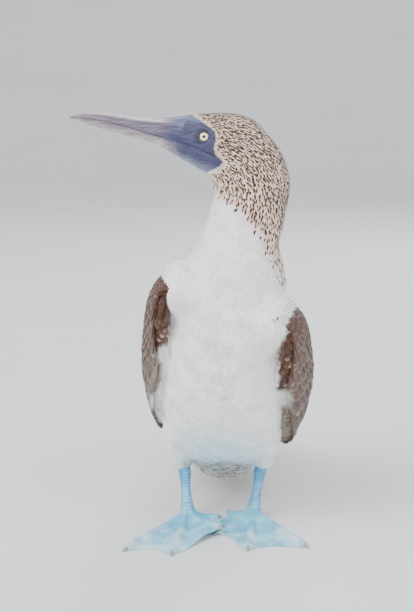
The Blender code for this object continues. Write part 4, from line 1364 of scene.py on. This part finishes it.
def strew_coverts(name, side, core):
    """Small coverts all over a wing's body, round its edges too, pointing to its tip."""
    surface = Surface(core.data)
    roots, normals = surface.scatter(
        lambda points: np.full(len(points), COVERT_GAP), lambda points: np.ones(len(points), bool), 61 + side
    )
    place, chord, outer = wing_coordinates(side, roots)
    seen = ~(outer & (place > 2.6) & (np.abs(chord) < 0.8))
    seen &= (place > 1.0) | (wing_marks(side, roots)[0] < 0.5)
    roots, normals, place, chord, outer = (item[seen] for item in (roots, normals, place, chord, outer))
    draw = np.random.default_rng(71 + side)
    count = len(roots)
    middle = wing_surface(side, place, chord * 0.9)
    ahead = wing_surface(side, place + 0.15, chord * 0.9)
    lies = unit(ahead - middle)
    lies = lies + np.cross(lies, normals) * draw.normal(0, 0.1, count)[:, None]
    length = np.interp(place, [0, 2, 5, 10], [0.5, 0.77, 1, 0.92]) * draw.uniform(0.85, 1.15, count)
    length = length * chosen("covert_length")
    width = np.interp(place, [0, 2, 5, 10], [4, 5.6, 6.2, 5]) * MM
    lift = draw.uniform(0.8, 1.5, count) * MM
    made, across, along = lay_feathers(
        f"{name}_lining", surface, roots, normals, unit(lies), length, width, lift, TRUNK_SHAPE, 0.35 * MM
    )
    wobble = draw.random(count)
    base = blend(chosen("brown"), chosen("dark_brown"), np.clip(0.15 + 0.7 * wobble, 0, 1))
    base = blend(base, chosen("dark_brown"), (~outer) * (place > 1.2) * 0.3)
    tip = ramp(0.6, 1.0, along) * (0.2 + 0.6 * draw.random(count) ** 2)[:, None, None]
    rust = blend(chosen("rust"), chosen("cream"), (draw.random(count) > 0.6) * 0.8)
    colour = blend(base[:, None, None], rust[:, None, None], tip)
    mark_wing(made, side, colour.reshape(-1, 3))
    map_vanes(made, across, along, 0.05 + place / 12.5, np.where(outer, 0.25, 0.75) + 0.22 * chord)
    settle(made, feather_material(f"{name}_small_vanes", 4.0, 0.3, 0.65), name)


def make_wing(name, side):
    """A folded wing: its body, and its feathers in tiers from the shoulder to the tip."""
    core = grown(name, wing_solid(side, -0.6 * MM, 56, 120))
    draw = np.random.default_rng(31 + side)
    wobble = draw.random(len(core.data.vertices))
    mark_wing(core, side, blend(chosen("brown"), chosen("dark_brown"), 0.3 + 0.5 * wobble))
    core.name = f"{name}_body"
    settle(core, skin_material(f"{name}_down"), name, name)
    strew_coverts(name, side, core)

    def at(place, chord, aside, rise):
        values = smooth(WING_ROWS[side], place)
        reach = np.where(chord > 0, values[:, 3], values[:, 4])
        return wing_surface(side, place, chord + aside / np.maximum(reach, 3 * MM), rise)

    groups = {"coverts": WING_TIERS[:9], "flight": WING_TIERS[9:], "scapulars": SCAPULARS}
    material = feather_material(f"{name}_vanes", 9.0, 0.35, 0.6)
    for group, tiers in groups.items():
        sheets = []
        for count, root_1, root_2, tip_1, tip_2, half_width, rise, kind in tiers:
            roots, tips = row_of(root_1, root_2, count), row_of(tip_1, tip_2, count)
            shift = draw.normal(0, 0.05, count)
            roots[:, 0] += shift
            tips[:, 0] += shift + draw.normal(0, 0.05, count)
            tips[:, 1] += draw.normal(0, 0.012, count)
            shape = POINTED_SHAPE if kind == "primary" else VANE_SHAPE
            sizes = half_width * MM, rise * MM, -0.9 * MM
            made, across, along = large_vanes("tier", at, roots, tips, *sizes, shape)
            mark_wing(made, side, wing_colours(kind, roots, across, along, draw).reshape(-1, 3))
            map_vanes(made, across, along, 0.05 + roots[:, 0] / 12.5, 0.5 + 0.45 * roots[:, 1])
            sheets.append(made)
        settle(join_pieces(f"{name}_{group}", sheets), material, name)


def make_tail():
    """The tail: its root, twelve pointed feathers and the coverts over it."""

    def form(u, v):
        place = v * 8 * 0.72
        half_thickness = smooth(TAIL, place)[:, 3] * MM
        turn = 2 * math.pi * u
        top = tail_surface(place, np.cos(turn) * (1 - 0.35 * ramp(2.5, 5.5, place)), 0)
        top[:, 2] -= np.maximum(-np.sin(turn), 0) * 2 * half_thickness + 0.3 * MM
        return top

    core = grown("tail_root", tube(40, 60, form))
    paint(core, chosen("dark_brown"))
    settle(core, skin_material("tail_down"), "tail", "tail")
    draw = np.random.default_rng(53)

    def at(place, across, aside, rise):
        half_width = smooth(TAIL, np.minimum(place, 5.6))[:, 2] * MM
        narrow = smooth(TAIL, place)[:, 2] * MM
        points = tail_surface(place, np.zeros(len(place)), rise)
        reach = across * narrow + aside
        points[:, 0] += reach
        points[:, 2] -= TAIL_ARCH * np.minimum(reach / half_width, 1.2) ** 2
        points[:, 2] = np.maximum(points[:, 2], 0.3 * MM)
        return points

    sheets = []
    for order, (root, tip, end) in enumerate(TAIL_FEATHERS):
        for side in (1, -1):
            roots = np.array([[1.6 + 0.12 * order, side * root]])
            tips = np.array([[end, side * tip]])
            rise = (1.7 - 0.22 * order - (0.35 if side < 0 else 0)) * MM
            sizes = 7 * MM, rise, -side * 0.7 * MM
            made, across, along = large_vanes("rectrix", at, roots, tips, *sizes, POINTED_SHAPE)
            pale = 0.28 * (1 - order / 5) * ramp(0.1, 0.7, along) * ramp(0.5, 0.0, np.abs(across))
            base = blend(chosen("dark_brown"), WARM_WHITE, pale)
            colour = blend(base, 0.6 * chosen("cream"), 0.5 * ramp(0.75, 1.0, np.abs(across)))
            paint(made, colour.reshape(-1, 3))
            aside = np.array([0.5 + 0.07 * order * side + 0.03 * side])
            map_vanes(made, across, along, aside, np.array([0.3]))
            sheets.append(made)
    for row in range(4):
        count = 11 - row
        roots = row_of((0.9 + 0.5 * row, -0.85), (0.9 + 0.5 * row, 0.85), count)
        tips = roots + np.array([1.25, 0])
        tips[:, 0] += draw.normal(0, 0.06, count)
        rise = (2.6 - 0.2 * row) * MM
        made, across, along = large_vanes("covert", at, roots, tips, 4.2 * MM, rise, -0.4 * MM)
        base = blend(chosen("brown"), WARM_WHITE, np.clip(0.75 - 0.2 * row + 0.3 * draw.random(count), 0, 1))
        colour = base[:, None, None] * (1 - 0.3 * ramp(0.5, 0.0, np.abs(across)))[..., None]
        paint(made, colour.reshape(-1, 3))
        map_vanes(made, across, along, 0.5 + 0.4 * roots[:, 1], np.full(count, 0.6 + 0.05 * row))
        sheets.append(made)
    settle(join_pieces("tail_vanes", sheets), feather_material("tail_feathers", 9.0, 0.35, 0.6), "tail")


# Head: bare face, bill and eyes

# pale horn, also used for the painted highlight along the bill's ridge
PALE_HORN_AND_HIGHLIGHT = tint(214, 206, 206)
HORN_LILAC = tint(100, 90, 122)
SLATE_DEEP = tint(22, 24, 56)
FACE_PALE = tint(126, 142, 172)


def block(name, outline, half=40 * MM):
    """A slab across the head with this outline, forward and up in millimetres."""
    bm = bmesh.new()
    outline = np.array(outline, float) * MM
    ring = head_place(outline[:, 0], np.full(len(outline), -half), outline[:, 1])
    face = bm.faces.new([bm.verts.new(point) for point in ring])
    raised = bmesh.ops.extrude_face_region(bm, geom=[face])["geom"]
    moved = [item for item in raised if isinstance(item, bmesh.types.BMVert)]
    bmesh.ops.translate(bm, verts=moved, vec=Vector(ASIDE) * 2 * half)
    bmesh.ops.recalc_face_normals(bm, faces=bm.faces)
    return grown(name, bm)


def offset_outline(outline, inset):
    """An outline moved to its left by an inset, in millimetres."""
    points = np.array(outline, float)
    before = unit(points - np.roll(points, 1, axis=0))
    after = unit(np.roll(points, -1, axis=0) - points)
    way = unit(before + after)
    return points + np.stack([-way[:, 1], way[:, 0]], axis=-1) * inset


def bill_colours(points):
    """Colours of the bill and the bare face by their place on the head."""
    forward, left, up = head_coordinates(points)
    rows = smooth(HEAD, np.interp(forward, [row[0] for row in HEAD], range(len(HEAD))))
    height = np.clip((up - rows[:, 2]) / np.maximum(rows[:, 1] - rows[:, 2], 0.1), 0, 1)
    mouth = np.array(MOUTH[:12], float)[::-1]
    line = np.interp(forward, mouth[:, 0], mouth[:, 1])
    lower = up < line
    draw = np.random.default_rng(5)
    wobble = draw.random(len(points))
    colour = blend(chosen("horn"), HORN_LILAC, 0.5 + 0.3 * np.sin(forward * 0.7 + up * 2))
    # painted highlight along the top of the upper bill
    colour = blend(colour, PALE_HORN_AND_HIGHLIGHT, np.where(lower, 0.0, ramp(0.78, 0.93, height)) * 0.8)
    # pale horn along the lower edge of the lower jaw
    colour = blend(colour, PALE_HORN_AND_HIGHLIGHT, np.where(lower, ramp(0.42, 0.1, height), 0.0) * 0.55)
    # painted shade in the groove beside the ridge of the upper bill
    groove = np.exp(-(((height - 0.79 + 0.05 * ramp(20, 100, forward)) / 0.035) ** 2)) * ~lower
    colour = blend(colour, tint(84, 80, 92), 0.6 * groove * ramp(14, 24, forward))
    near_mouth = np.exp(-(((up - line) / 0.8) ** 2))
    colour = blend(colour, tint(72, 66, 78), 0.7 * near_mouth)
    colour = blend(colour, tint(158, 140, 146), 0.35 * ramp(60, 110, forward))
    # blue of the face, fading into the horn ahead of the eye
    edge = np.where(lower, 28.0, 38.0 - 0.7 * np.abs(up - 2))
    blue = 1 - ramp(-12, 12, forward - edge)
    slate = blend(chosen("face_blue"), SLATE_DEEP, 0.24 * wobble + 0.4 * near_mouth)
    colour = blend(colour, slate, blue)
    pale_top = ramp(10, 17, up) * (1 - ramp(22, 40, forward))
    colour = blend(colour, FACE_PALE, 0.75 * pale_top)
    chin = np.where(lower, ramp(0.22, 0.02, height), 0) * blue
    return blend(colour, FACE_PALE, 0.75 * chin)


def eye_frame(side):
    """Placed at an eye's centre, its Z pointing out of the head."""
    level = math.cos(EYE_TURN) * side * ASIDE + math.sin(EYE_TURN) * AHEAD
    out = unit(level + np.array([0, 0, EYE_RISE]))
    across = unit(np.cross([0, 0, 1.0], out))
    up = np.cross(out, across)
    matrix = Matrix.Identity(4)
    for column, axis in enumerate((across, up, out)):
        for row in range(3):
            matrix[row][column] = axis[row]
    matrix.translation = Vector(head_place(0.0, side * EYE_OUT, 0.0))
    return matrix


def make_head_parts():
    """Bare face, upper bill and lower jaw, cut from one fine form along the mouth."""

    def form(u, v):
        return head_surface(v * (len(HEAD) - 1), 2 * math.pi * u)

    whole = grown("face", tube(112, 300, form))
    jaw = MOUTH + [(-1.8, -48), (118, -48)]
    lower = twin(whole, "lower_bill")
    carve(lower, block("jaw", offset_outline(jaw, 0.25)), "INTERSECT")
    carve(whole, block("jaw", jaw), "DIFFERENCE")
    upper = twin(whole, "upper_bill")
    root, mouth = (head_place(forward * MM, 0, up * MM) for forward, up in BILL_ROOT)
    ahead = unit(np.cross(ASIDE, mouth - root))
    if ahead @ AHEAD < 0:
        ahead = -ahead
    part_off(upper, root, -ahead)
    part_off(whole, root, ahead)
    carve(whole, block("rear", FACE + [(40, -20), (40, 26)]), "INTERSECT")
    for side in (1, -1):
        socket = ball(48, 24, EYE_RADIUS + 0.15 * MM, eye_frame(side))
        carve(whole, grown("socket", socket), "DIFFERENCE")
    face_skin = bare_material("face_skin", 800.0, 0.45, 0.4, 48.0, (1.0, 10.0, 10.0), STREAKED, 0.15)
    for made, material, slot, nodes in (
        (whole, face_skin, "head", ()),
        (upper, horn_material("upper_bill_horn"), "bill_upper", ("bill_upper",)),
        (lower, horn_material("lower_bill_horn"), "bill_lower", ("bill_lower",)),
    ):
        paint(made, bill_colours(points_of(made.data)))
        settle(made, material, slot, *nodes)


def eye_material(name, side):
    """Pale yellow iris with a dark rim and a small round pupil, set round the eye's own axis."""
    shade = Shade(name)
    location, rotation, _ = eye_frame(side).inverted().decompose()
    vector = shade.placed(location=location[:], rotation=rotation.to_euler("XYZ")[:])
    level = shade.add("ShaderNodeVectorMath", operation="MULTIPLY")
    level.inputs[1].default_value = (1, 1, 0)
    shade.link(vector, level.inputs[0])
    away = shade.add("ShaderNodeVectorMath", operation="LENGTH")
    shade.link(level.outputs["Vector"], away.inputs[0])
    share = shade.add("ShaderNodeMath", operation="MULTIPLY")
    share.inputs[1].default_value = 0.55 / chosen("iris_radius")
    shade.link(away.outputs["Value"], share.inputs[0])
    black, iris, rim = tint(10, 9, 10), tint(244, 236, 190), tint(196, 180, 120)
    colour = shade.stops(
        share.outputs[0],
        [(0.0, black), (0.2, black), (0.22, rim), (0.28, iris), (0.5, iris), (0.56, rim), (0.6, black)],
    )
    grain = shade.stops(shade.noise(1500.0), [(0.3, (0.88, 0.88, 0.84)), (0.7, (1.05, 1.05, 1.05))])
    colour = shade.mix(1.0, colour, grain, "MULTIPLY")
    return shade.finish(colour, 0.12, None, Coat_Weight=1.0, Coat_Roughness=0.02)


def make_eyes():
    """Both eyeballs with their bulging fronts, and the wrinkled ring of the lids round each."""
    for word, side in SIDES.items():
        bm = ball(64, 40, EYE_RADIUS, Matrix.Identity(4))
        for vertex in bm.verts:
            bulge = max(0.0, 1 - vertex.co.xy.length / (4.6 * MM)) if vertex.co.z > 0 else 0.0
            vertex.co.z += 0.45 * MM * bulge * (2 - bulge)
        bmesh.ops.transform(bm, matrix=eye_frame(side), verts=bm.verts)
        eye = f"eye_{word}"
        settle(grown(f"{eye}_ball", bm), eye_material(f"{eye}_gloss", side), eye, eye)
        height = math.sqrt(EYE_RADIUS**2 - LID_RADIUS**2)
        frame_matrix = np.array(eye_frame(side))

        def rim(u, v, height=height, frame_matrix=frame_matrix):
            turn, angle = 2 * math.pi * u, 2 * math.pi * v
            size = 1.15 * MM * (1 + 0.1 * np.sin(9 * turn) + 0.06 * np.sin(23 * turn))
            reach = (LID_RADIUS - 0.1 * MM) * (1 + 0.05 * np.cos(2 * turn)) + size * 1.25 * np.cos(angle)
            lift = height - 0.45 * MM + size * np.sin(angle) * 0.8 - 0.35 * (reach - LID_RADIUS)
            places = np.stack([reach * np.cos(turn), reach * np.sin(turn), lift, np.ones(len(turn))])
            return (frame_matrix @ places)[:3].T

        lid = grown(f"{eye}_lids", tube(96, 20, rim))
        paint(lid, blend(SLATE_DEEP, chosen("face_blue"), 0.3))
        settle(lid, bare_material(f"lid_{word}_skin", 1600.0, 0.45, 0.3, seams=0.15), "head")


# Legs and feet

TOE_WHITE = tint(236, 248, 252)


def make_shank(name, side):
    """The bare shank, from the ankle to the knuckle of the foot, with broad scutes down its front."""
    foot = FOOT[side] / MM
    ankle = np.array([side * 38.5 + leg_lean(side), 11 + foot[1], 50.5])
    knuckle = foot + np.array([0, 0, SOLE_JOINT_Z / MM - 1])
    sizes = [(5.7, 6.8), (5.9, 7.0), (5.0, 6.0), (4.8, 5.8), (4.9, 5.9), (5.6, 6.4), (6.6, 7.4)]

    def form(u, v):
        rows = smooth(sizes, v * (len(sizes) - 1))
        turn = 2 * math.pi * u
        front = ramp(-0.2, 0.6, -np.sin(turn))
        saw = (v * 13) % 1.0
        ridge = 0.32 * front * (ramp(0.0, 0.5, saw) * (1 - ramp(0.82, 1.0, saw)) - 0.4)
        centre = ankle + (knuckle - ankle) * v[:, None]
        x = centre[:, 0] + (rows[:, 0] + ridge) * np.cos(turn)
        y = centre[:, 1] + (rows[:, 1] + ridge) * np.sin(turn)
        return np.stack([x, y, centre[:, 2]], axis=-1) * MM + SHIFT

    shank = grown(f"{name}_shank", tube(48, 160, form))
    points = points_of(shank.data)
    colour = blend(chosen("leg_blue"), chosen("web_pale"), ramp(44 * MM, 14 * MM, points[:, 2]) * 0.7)
    side_shade = ramp(0.2, 1.0, np.abs(normals_of(shank.data)[:, 0]))
    colour = blend(colour, tint(48, 112, 206), side_shade * 0.45)
    # darker bands painted as shade in the valleys between the scutes, paler between them
    rings = ramp(0.55, 0.95, np.abs(((points[:, 2] / MM - 13) / 2.9) % 1.0 - 0.5) * 2)
    colour = blend(colour, tint(48, 128, 204), rings * 0.25)
    colour = blend(colour, chosen("web_pale"), (1 - rings) * 0.25)
    paint(shank, colour)
    settle(shank, bare_material(f"{name}_scutes", 480.0, 0.55, 0.6, 120.0), name, name)


def foot_point(side, line, part):
    """Level place of a grid point relative to the joint, its height and how far it is lifted. A line lies on
    a toe, at an offset in half widths, or in the web before a toe, at a share of the way to it."""
    toes = TOES[side]
    kind, index, value = line

    def toe_angle(i, offset, radius):
        spread = math.asin(min(abs(offset) * TOE_HALF_WIDTH / max(radius, 1e-6), 0.9))
        spread *= 1 if offset > 0 else -1
        room = math.radians(9 if 0 < i < 3 else 11)
        limit = room + (math.pi / 3) * (0 if abs(offset) < 1.1 else 1)
        bow = math.radians(TOE_BOW * math.sin(math.pi * min(part, 1))) if i == 0 else 0.0
        return math.radians(toes[i][0]) - bow + max(min(spread, limit), -limit)

    if kind == "toe":
        length = toes[index][1] * MM
        radius = max(length * part, 0.2 * MM)
        angle = toe_angle(index, value, radius)
        top = 11.5 * MM * (1 - part) + 4.2 * MM * part - 2.2 * MM * math.sin(math.pi * part)
        top = max(top, SOLE_JOINT_Z - 0.55 * radius)
        edge = abs(value)
        share = np.interp(edge, [0, 0.4, 0.8, 1.25], [1, 0.93, 0.72, 0.3])
        joints = 0.5 * MM * math.exp(-((edge / 0.5) ** 2)) * math.sin(part * 21 + index)
        joints *= ramp(0.2, 0.4, part)
        height = top * share + joints
        radius -= length * (0.02 * edge * edge if part > 0.9 else 0)
    else:
        before, after = toes[index - 1], toes[index]
        length = (before[1] * (1 - value) + after[1] * value) * MM
        dip = (0.11, 0.16, 0.22)[index - 1]
        # the web's edge runs in between the claws
        length *= 1 - dip * math.sin(math.pi * value)
        radius = max(length * part, 0.2 * MM)
        start = toe_angle(index - 1, 0.8, radius)
        end = toe_angle(index, -0.8, radius)
        angle = start * (1 - value) + end * value
        height = WEB + 8 * MM * (1 - ramp(0, 0.42, part))
        height = max(height, (SOLE_JOINT_Z - 0.55 * radius) * 0.9)
        height -= 0.6 * MM * part
        fold = 0.22 * MM * math.sin(value * 19 + part * 7) + 0.2 * MM * math.sin(part * 34 + value * 4)
        height += fold * ramp(0.15, 0.45, part) * math.sin(math.pi * value)
    height = height * (1 - ramp(9 * MM, 6 * MM, radius)) + SOLE_JOINT_Z * ramp(9 * MM, 6 * MM, radius)
    degrees = math.degrees(angle)
    lift = 0.0
    if side < 0:
        lift = OVERLAP_LIFT * ramp(0.25, 0.68, part) * ramp(2, 26, degrees) * (1 - ramp(58, 92, degrees))
    level = np.array([-side * math.sin(angle) * radius, -math.cos(angle) * radius, 0])
    return level, float(height), float(lift)


def foot_lines(side):
    """Lines of the foot's grid from its outer edge round to the hind toe."""
    offsets = (-0.8, -0.4, 0, 0.4, 0.8)
    lines = [("toe", 0, -1.25)] + [("toe", 0, offset) for offset in offsets]
    for i in range(1, len(TOES[side])):
        lines += [("web", i, j / 14) for j in range(1, 14)]
        lines += [("toe", i, offset) for offset in offsets]
    lines.append(("toe", len(TOES[side]) - 1, 1.25))
    return lines


def make_foot(name, side):
    """A webbed foot: the toes' ridges and the folded web over one flat sole."""
    lines = foot_lines(side)
    steps = np.linspace(0, 1, 54) ** 0.9
    joint = FOOT[side] + SHIFT
    bm = bmesh.new()
    bmesh.ops.create_grid(bm, x_segments=len(lines) - 1, y_segments=len(steps) - 1, size=1)
    tops = list(bm.verts)
    lifts = []
    for vertex in tops:
        column = round((vertex.co.x + 1) / 2 * (len(lines) - 1))
        row = round((vertex.co.y + 1) / 2 * (len(steps) - 1))
        level, height, lift = foot_point(side, lines[column], max(float(steps[row]), 0.03))
        vertex.co = joint + level + np.array([0, 0, height + lift])
        lifts.append(lift)
    bmesh.ops.extrude_face_region(bm, geom=list(bm.faces))
    for vertex, lift in zip(tops, lifts):
        vertex.co.z = lift
    bmesh.ops.remove_doubles(bm, verts=bm.verts, dist=2e-5)
    bmesh.ops.recalc_face_normals(bm, faces=bm.faces)
    foot = grown(f"{name}_web", bm)
    points = points_of(foot.data)
    away = (points - joint)[:, :2]
    radius = np.linalg.norm(away, axis=1)
    degrees = np.degrees(np.arctan2(-side * away[:, 0], -away[:, 1]))
    toe = np.zeros(len(points))
    for angle, length in TOES[side]:
        across = np.abs(np.radians(degrees - angle)) * radius
        toe = np.maximum(toe, 1 - ramp(2.2 * MM, 4.6 * MM, across))
    part = np.clip(radius / (85 * MM), 0, 1)
    colour = blend(chosen("web_blue"), chosen("web_pale"), np.clip(0.25 + 0.75 * part, 0, 1))
    colour = blend(colour, TOE_WHITE, toe * ramp(0.2, 0.7, part) * 0.75)
    rings = ramp(0.3, 0.9, np.abs((radius / MM / 3.1) % 1.0 - 0.5) * 2)
    colour = blend(colour, chosen("web_blue"), toe * rings * ramp(0.1, 0.3, part) * 0.45)
    colour = blend(colour, TOE_WHITE, ramp(0.85, 1.02, part) * 0.45)
    paint(foot, colour)
    settle(foot, bare_material(f"{name}_skin", 480.0, 0.55, 0.5, 62.0), name, name)


def make_claws():
    """A tapering claw of horn at the end of every toe."""
    shade = Shade("claw_horn")
    streak = shade.noise(900.0)
    colour = shade.stops(streak, [(0.3, tint(120, 128, 138)), (0.7, tint(176, 180, 186))])
    material = shade.finish(colour, 0.35, shade.bump(streak, 0.2, 0.0002), Coat_Weight=0.2)
    for word, side in SIDES.items():
        for index in range(4):
            level, height, lift = foot_point(side, ("toe", index, 0), 1.0)
            ahead = unit(level)
            across = np.cross([0, 0, 1.0], ahead)
            length = CLAW_LENGTHS[index] * MM
            root = FOOT[side] + SHIFT + level + np.array([0, 0, lift])

            def form(u, v, ahead=ahead, across=across, root=root, length=length):
                turn = 2 * math.pi * u
                size = 1.75 * MM * (1 - v**1.8 * 0.93)
                centre = root + ahead * (length * v - 0.6 * MM)[:, None]
                centre[:, 2] += (2.35 - 1.35 * v**2) * MM
                sideways = across * (size * 0.9 * np.cos(turn))[:, None]
                return centre + sideways + np.array([0, 0, 1.0]) * (size * np.sin(turn))[:, None]

            claw = f"claw_{word}_{index + 1}"
            settle(grown(f"{claw}_horn", tube(20, 16, form)), material, claw, claw)


# Stage


FLOOR_FRONT = -9
FLOOR_RUN = 16
FLOOR_WIDTH = 22
BEND_START = 3.2
BEND_RADIUS = 2.2
# Name, place, size, power, colour
LIGHTS = [
    ("key", (-1.3, -1.7, 1.9), 1.5, 74, (1.0, 0.985, 0.96)),
    ("fill", (1.7, -1.3, 1.1), 1.6, 20, (0.94, 0.97, 1.0)),
    ("back", (0.7, 1.9, 1.7), 1.3, 30, (1.0, 1.0, 1.0)),
]
LIGHT_TARGET = (0, -0.05, 0.2)
CAMERA_PLACE = (0.10529, -1.23702, 0.42)
CAMERA_TURN = (math.radians(79.688), 0, math.radians(5))
FOCAL_LENGTH = 73.18


def make_stage(light_power):
    """A pale floor, three soft lights, the sky's light and the camera."""
    bm = bmesh.new()
    bmesh.ops.create_grid(bm, x_segments=2, y_segments=60, size=1)

    def sweep(u, v):
        """Level floor that turns up smoothly into a wall far behind."""
        run = FLOOR_FRONT + FLOOR_RUN * v
        bend = np.clip((run - BEND_START) / BEND_RADIUS, 0, math.pi / 2)
        level = np.where(run < BEND_START, run, BEND_START + BEND_RADIUS * np.sin(bend))
        rise = BEND_RADIUS * (1 - np.cos(bend)) + np.maximum(run - BEND_START - BEND_RADIUS * math.pi / 2, 0)
        return np.stack([(u - 0.5) * FLOOR_WIDTH, level, rise - 0.2 * MM], axis=-1)

    set_places(bm, sweep)
    bmesh.ops.recalc_face_normals(bm, faces=bm.faces)
    floor = grown("floor", bm)
    shade = Shade("floor_paint")
    grain = shade.stops(shade.noise(3.0), [(0.3, (0.76, 0.76, 0.755)), (0.7, (0.79, 0.79, 0.785))])
    floor.data.materials.append(shade.finish(grain, 0.9))
    for name, place, size, power, colour in LIGHTS:
        data = bpy.data.lights.new(name, "AREA")
        data.size = size
        data.energy = power * light_power
        data.color = colour
        lamp = bpy.data.objects.new(name, data)
        lamp.location = place
        lamp.rotation_euler = (Vector(LIGHT_TARGET) - Vector(place)).to_track_quat("-Z", "Y").to_euler()
        bpy.context.scene.collection.objects.link(lamp)
    world = bpy.data.worlds.new("studio")
    world.use_nodes = True
    world.node_tree.nodes["Background"].inputs["Color"].default_value = (0.9, 0.93, 0.97, 1)
    world.node_tree.nodes["Background"].inputs["Strength"].default_value = 1.1
    bpy.context.scene.world = world
    lens = bpy.data.cameras.new("camera")
    lens.lens = FOCAL_LENGTH
    lens.sensor_fit = "VERTICAL"
    lens.sensor_height = 36
    lens.clip_end = 60
    camera = bpy.data.objects.new("camera", lens)
    camera.location = CAMERA_PLACE
    camera.rotation_euler = CAMERA_TURN
    bpy.context.scene.collection.objects.link(camera)
    bpy.context.scene.camera = camera


# The add-on


def colour_property(name, description, *shown_colour):
    colour = tuple(tint(*shown_colour))
    return FloatVectorProperty(
        name=name, description=description, default=colour, size=3, min=0.0, max=1.0, subtype="COLOR"
    )


def length_property(name, description, default, low, high=1.0):
    return FloatProperty(
        name=name, description=description, default=default, min=low, max=high, unit="LENGTH"
    )


class BoobySettings(bpy.types.PropertyGroup):
    white: colour_property("Body Feathers", "Feathers of breast, belly and upper legs", 250, 249, 248)
    cream: colour_property("Head Feathers", "Light colour between the head's streaks", 240, 216, 198)
    streak: colour_property("Streaks", "Dark colour of the streaks of head and neck", 44, 26, 17)
    brown: colour_property("Wing Brown", "Lighter brown of wings and back", 93, 46, 20)
    dark_brown: colour_property("Wing Dark Brown", "Darker brown of wings, back and tail", 40, 22, 13)
    rust: colour_property("Feather Edges", "Rusty edges of the wing feathers", 140, 92, 60)
    # the belly's blue is a painted reflection of the blue feet
    painted_foot_reflection: colour_property("Painted Foot Reflection", "Blue that the belly takes on above the legs", 176, 224, 246)
    horn: colour_property("Bill", "Colour of the bill ahead of the face", 118, 110, 118)
    face_blue: colour_property("Bare Face", "Slate blue of the bare face", 56, 58, 98)
    leg_blue: colour_property("Shanks", "Blue of the bare shanks", 78, 178, 238)
    web_blue: colour_property("Webs", "Deeper blue of the webs near the joint", 92, 206, 242)
    web_pale: colour_property("Web Edges", "Paler blue of the webs' outer parts", 178, 238, 252)
    feather_length: length_property("Feather Length", "Length of the breast feathers", 0.0125, 0.004)
    feather_spacing: length_property("Feather Spacing", "Distance between their roots", 0.00225, 0.0015)
    feather_lift: length_property("Feather Lift", "How far body feathers' tips stand off", 0.0009, 0.0002)
    streak_spacing: length_property("Streak Spacing", "Distance between the dark streaks", 0.0019, 0.0012)
    covert_length: length_property("Small Coverts", "Length of small feathers round the wings", 0.013, 0.004)
    iris_radius: length_property("Iris", "Radius of the pale iris", 0.0033, 0.002, 0.0045)
    light_power: FloatProperty(
        name="Light", description="Share of the studio lights' power", default=1.0, min=0.0, subtype="FACTOR"
    )


class BOOBY_OT_skin(bpy.types.Operator):
    """Makes the skin under the plumage and the body feathers over it"""

    bl_idname = "booby.skin"
    bl_label = "Skin and Body Feathers"

    def execute(self, context):
        skin = make_skin()
        points = points_of(skin.data)
        lie, place, angle = along_body(points)
        draw = np.random.default_rng(3)
        paint(skin, skin_colours(points, place, angle, draw.random(len(points))))
        settle(skin, skin_material("down"), "torso", "torso", "neck", "head", "thigh_left", "thigh_right")
        make_coat(skin)
        return {"FINISHED"}


class BOOBY_OT_head(bpy.types.Operator):
    """Makes the bare face, the bill and the eyes"""

    bl_idname = "booby.head"
    bl_label = "Face, Bill and Eyes"

    def execute(self, context):
        make_head_parts()
        make_eyes()
        return {"FINISHED"}


class BOOBY_OT_wings(bpy.types.Operator):
    """Makes both folded wings with their tiers of feathers"""

    bl_idname = "booby.wings"
    bl_label = "Wings"

    def execute(self, context):
        for word, side in SIDES.items():
            make_wing(f"wing_{word}", side)
        return {"FINISHED"}


class BOOBY_OT_tail(bpy.types.Operator):
    """Makes the tail and its coverts"""

    bl_idname = "booby.tail"
    bl_label = "Tail"

    def execute(self, context):
        make_tail()
        return {"FINISHED"}


class BOOBY_OT_legs(bpy.types.Operator):
    """Makes the shanks, the webbed feet and the claws"""

    bl_idname = "booby.legs"
    bl_label = "Legs and Feet"

    def execute(self, context):
        for word, side in SIDES.items():
            make_shank(f"tarsus_{word}", side)
            make_foot(f"foot_{word}", side)
        make_claws()
        return {"FINISHED"}


class BOOBY_OT_stage(bpy.types.Operator):
    """Makes the floor, the lights and the camera"""

    bl_idname = "booby.stage"
    bl_label = "Stage"

    def execute(self, context):
        make_stage(context.scene.booby.light_power)
        return {"FINISHED"}


class BOOBY_PT_panel(bpy.types.Panel):
    """Settings and operators of the booby"""

    bl_idname = "BOOBY_PT_panel"
    bl_label = "Booby"
    bl_space_type = "VIEW_3D"
    bl_region_type = "UI"
    bl_category = "Booby"

    def draw(self, context):
        for name in BoobySettings.__annotations__:
            self.layout.prop(context.scene.booby, name)
        for operator in OPERATORS:
            self.layout.operator(operator.bl_idname)


OPERATORS = (BOOBY_OT_skin, BOOBY_OT_head, BOOBY_OT_wings, BOOBY_OT_tail, BOOBY_OT_legs, BOOBY_OT_stage)
CLASSES = (BoobySettings, *OPERATORS, BOOBY_PT_panel)


def register():
    for item in CLASSES:
        bpy.utils.register_class(item)
    bpy.types.Scene.booby = PointerProperty(type=BoobySettings)


def unregister():
    del bpy.types.Scene.booby
    for item in reversed(CLASSES):
        bpy.utils.unregister_class(item)


def main():
    register()
    bpy.ops.booby.skin()
    bpy.ops.booby.head()
    bpy.ops.booby.wings()
    bpy.ops.booby.tail()
    bpy.ops.booby.legs()
    bpy.ops.booby.stage()


if __name__ == "__main__":
    main()
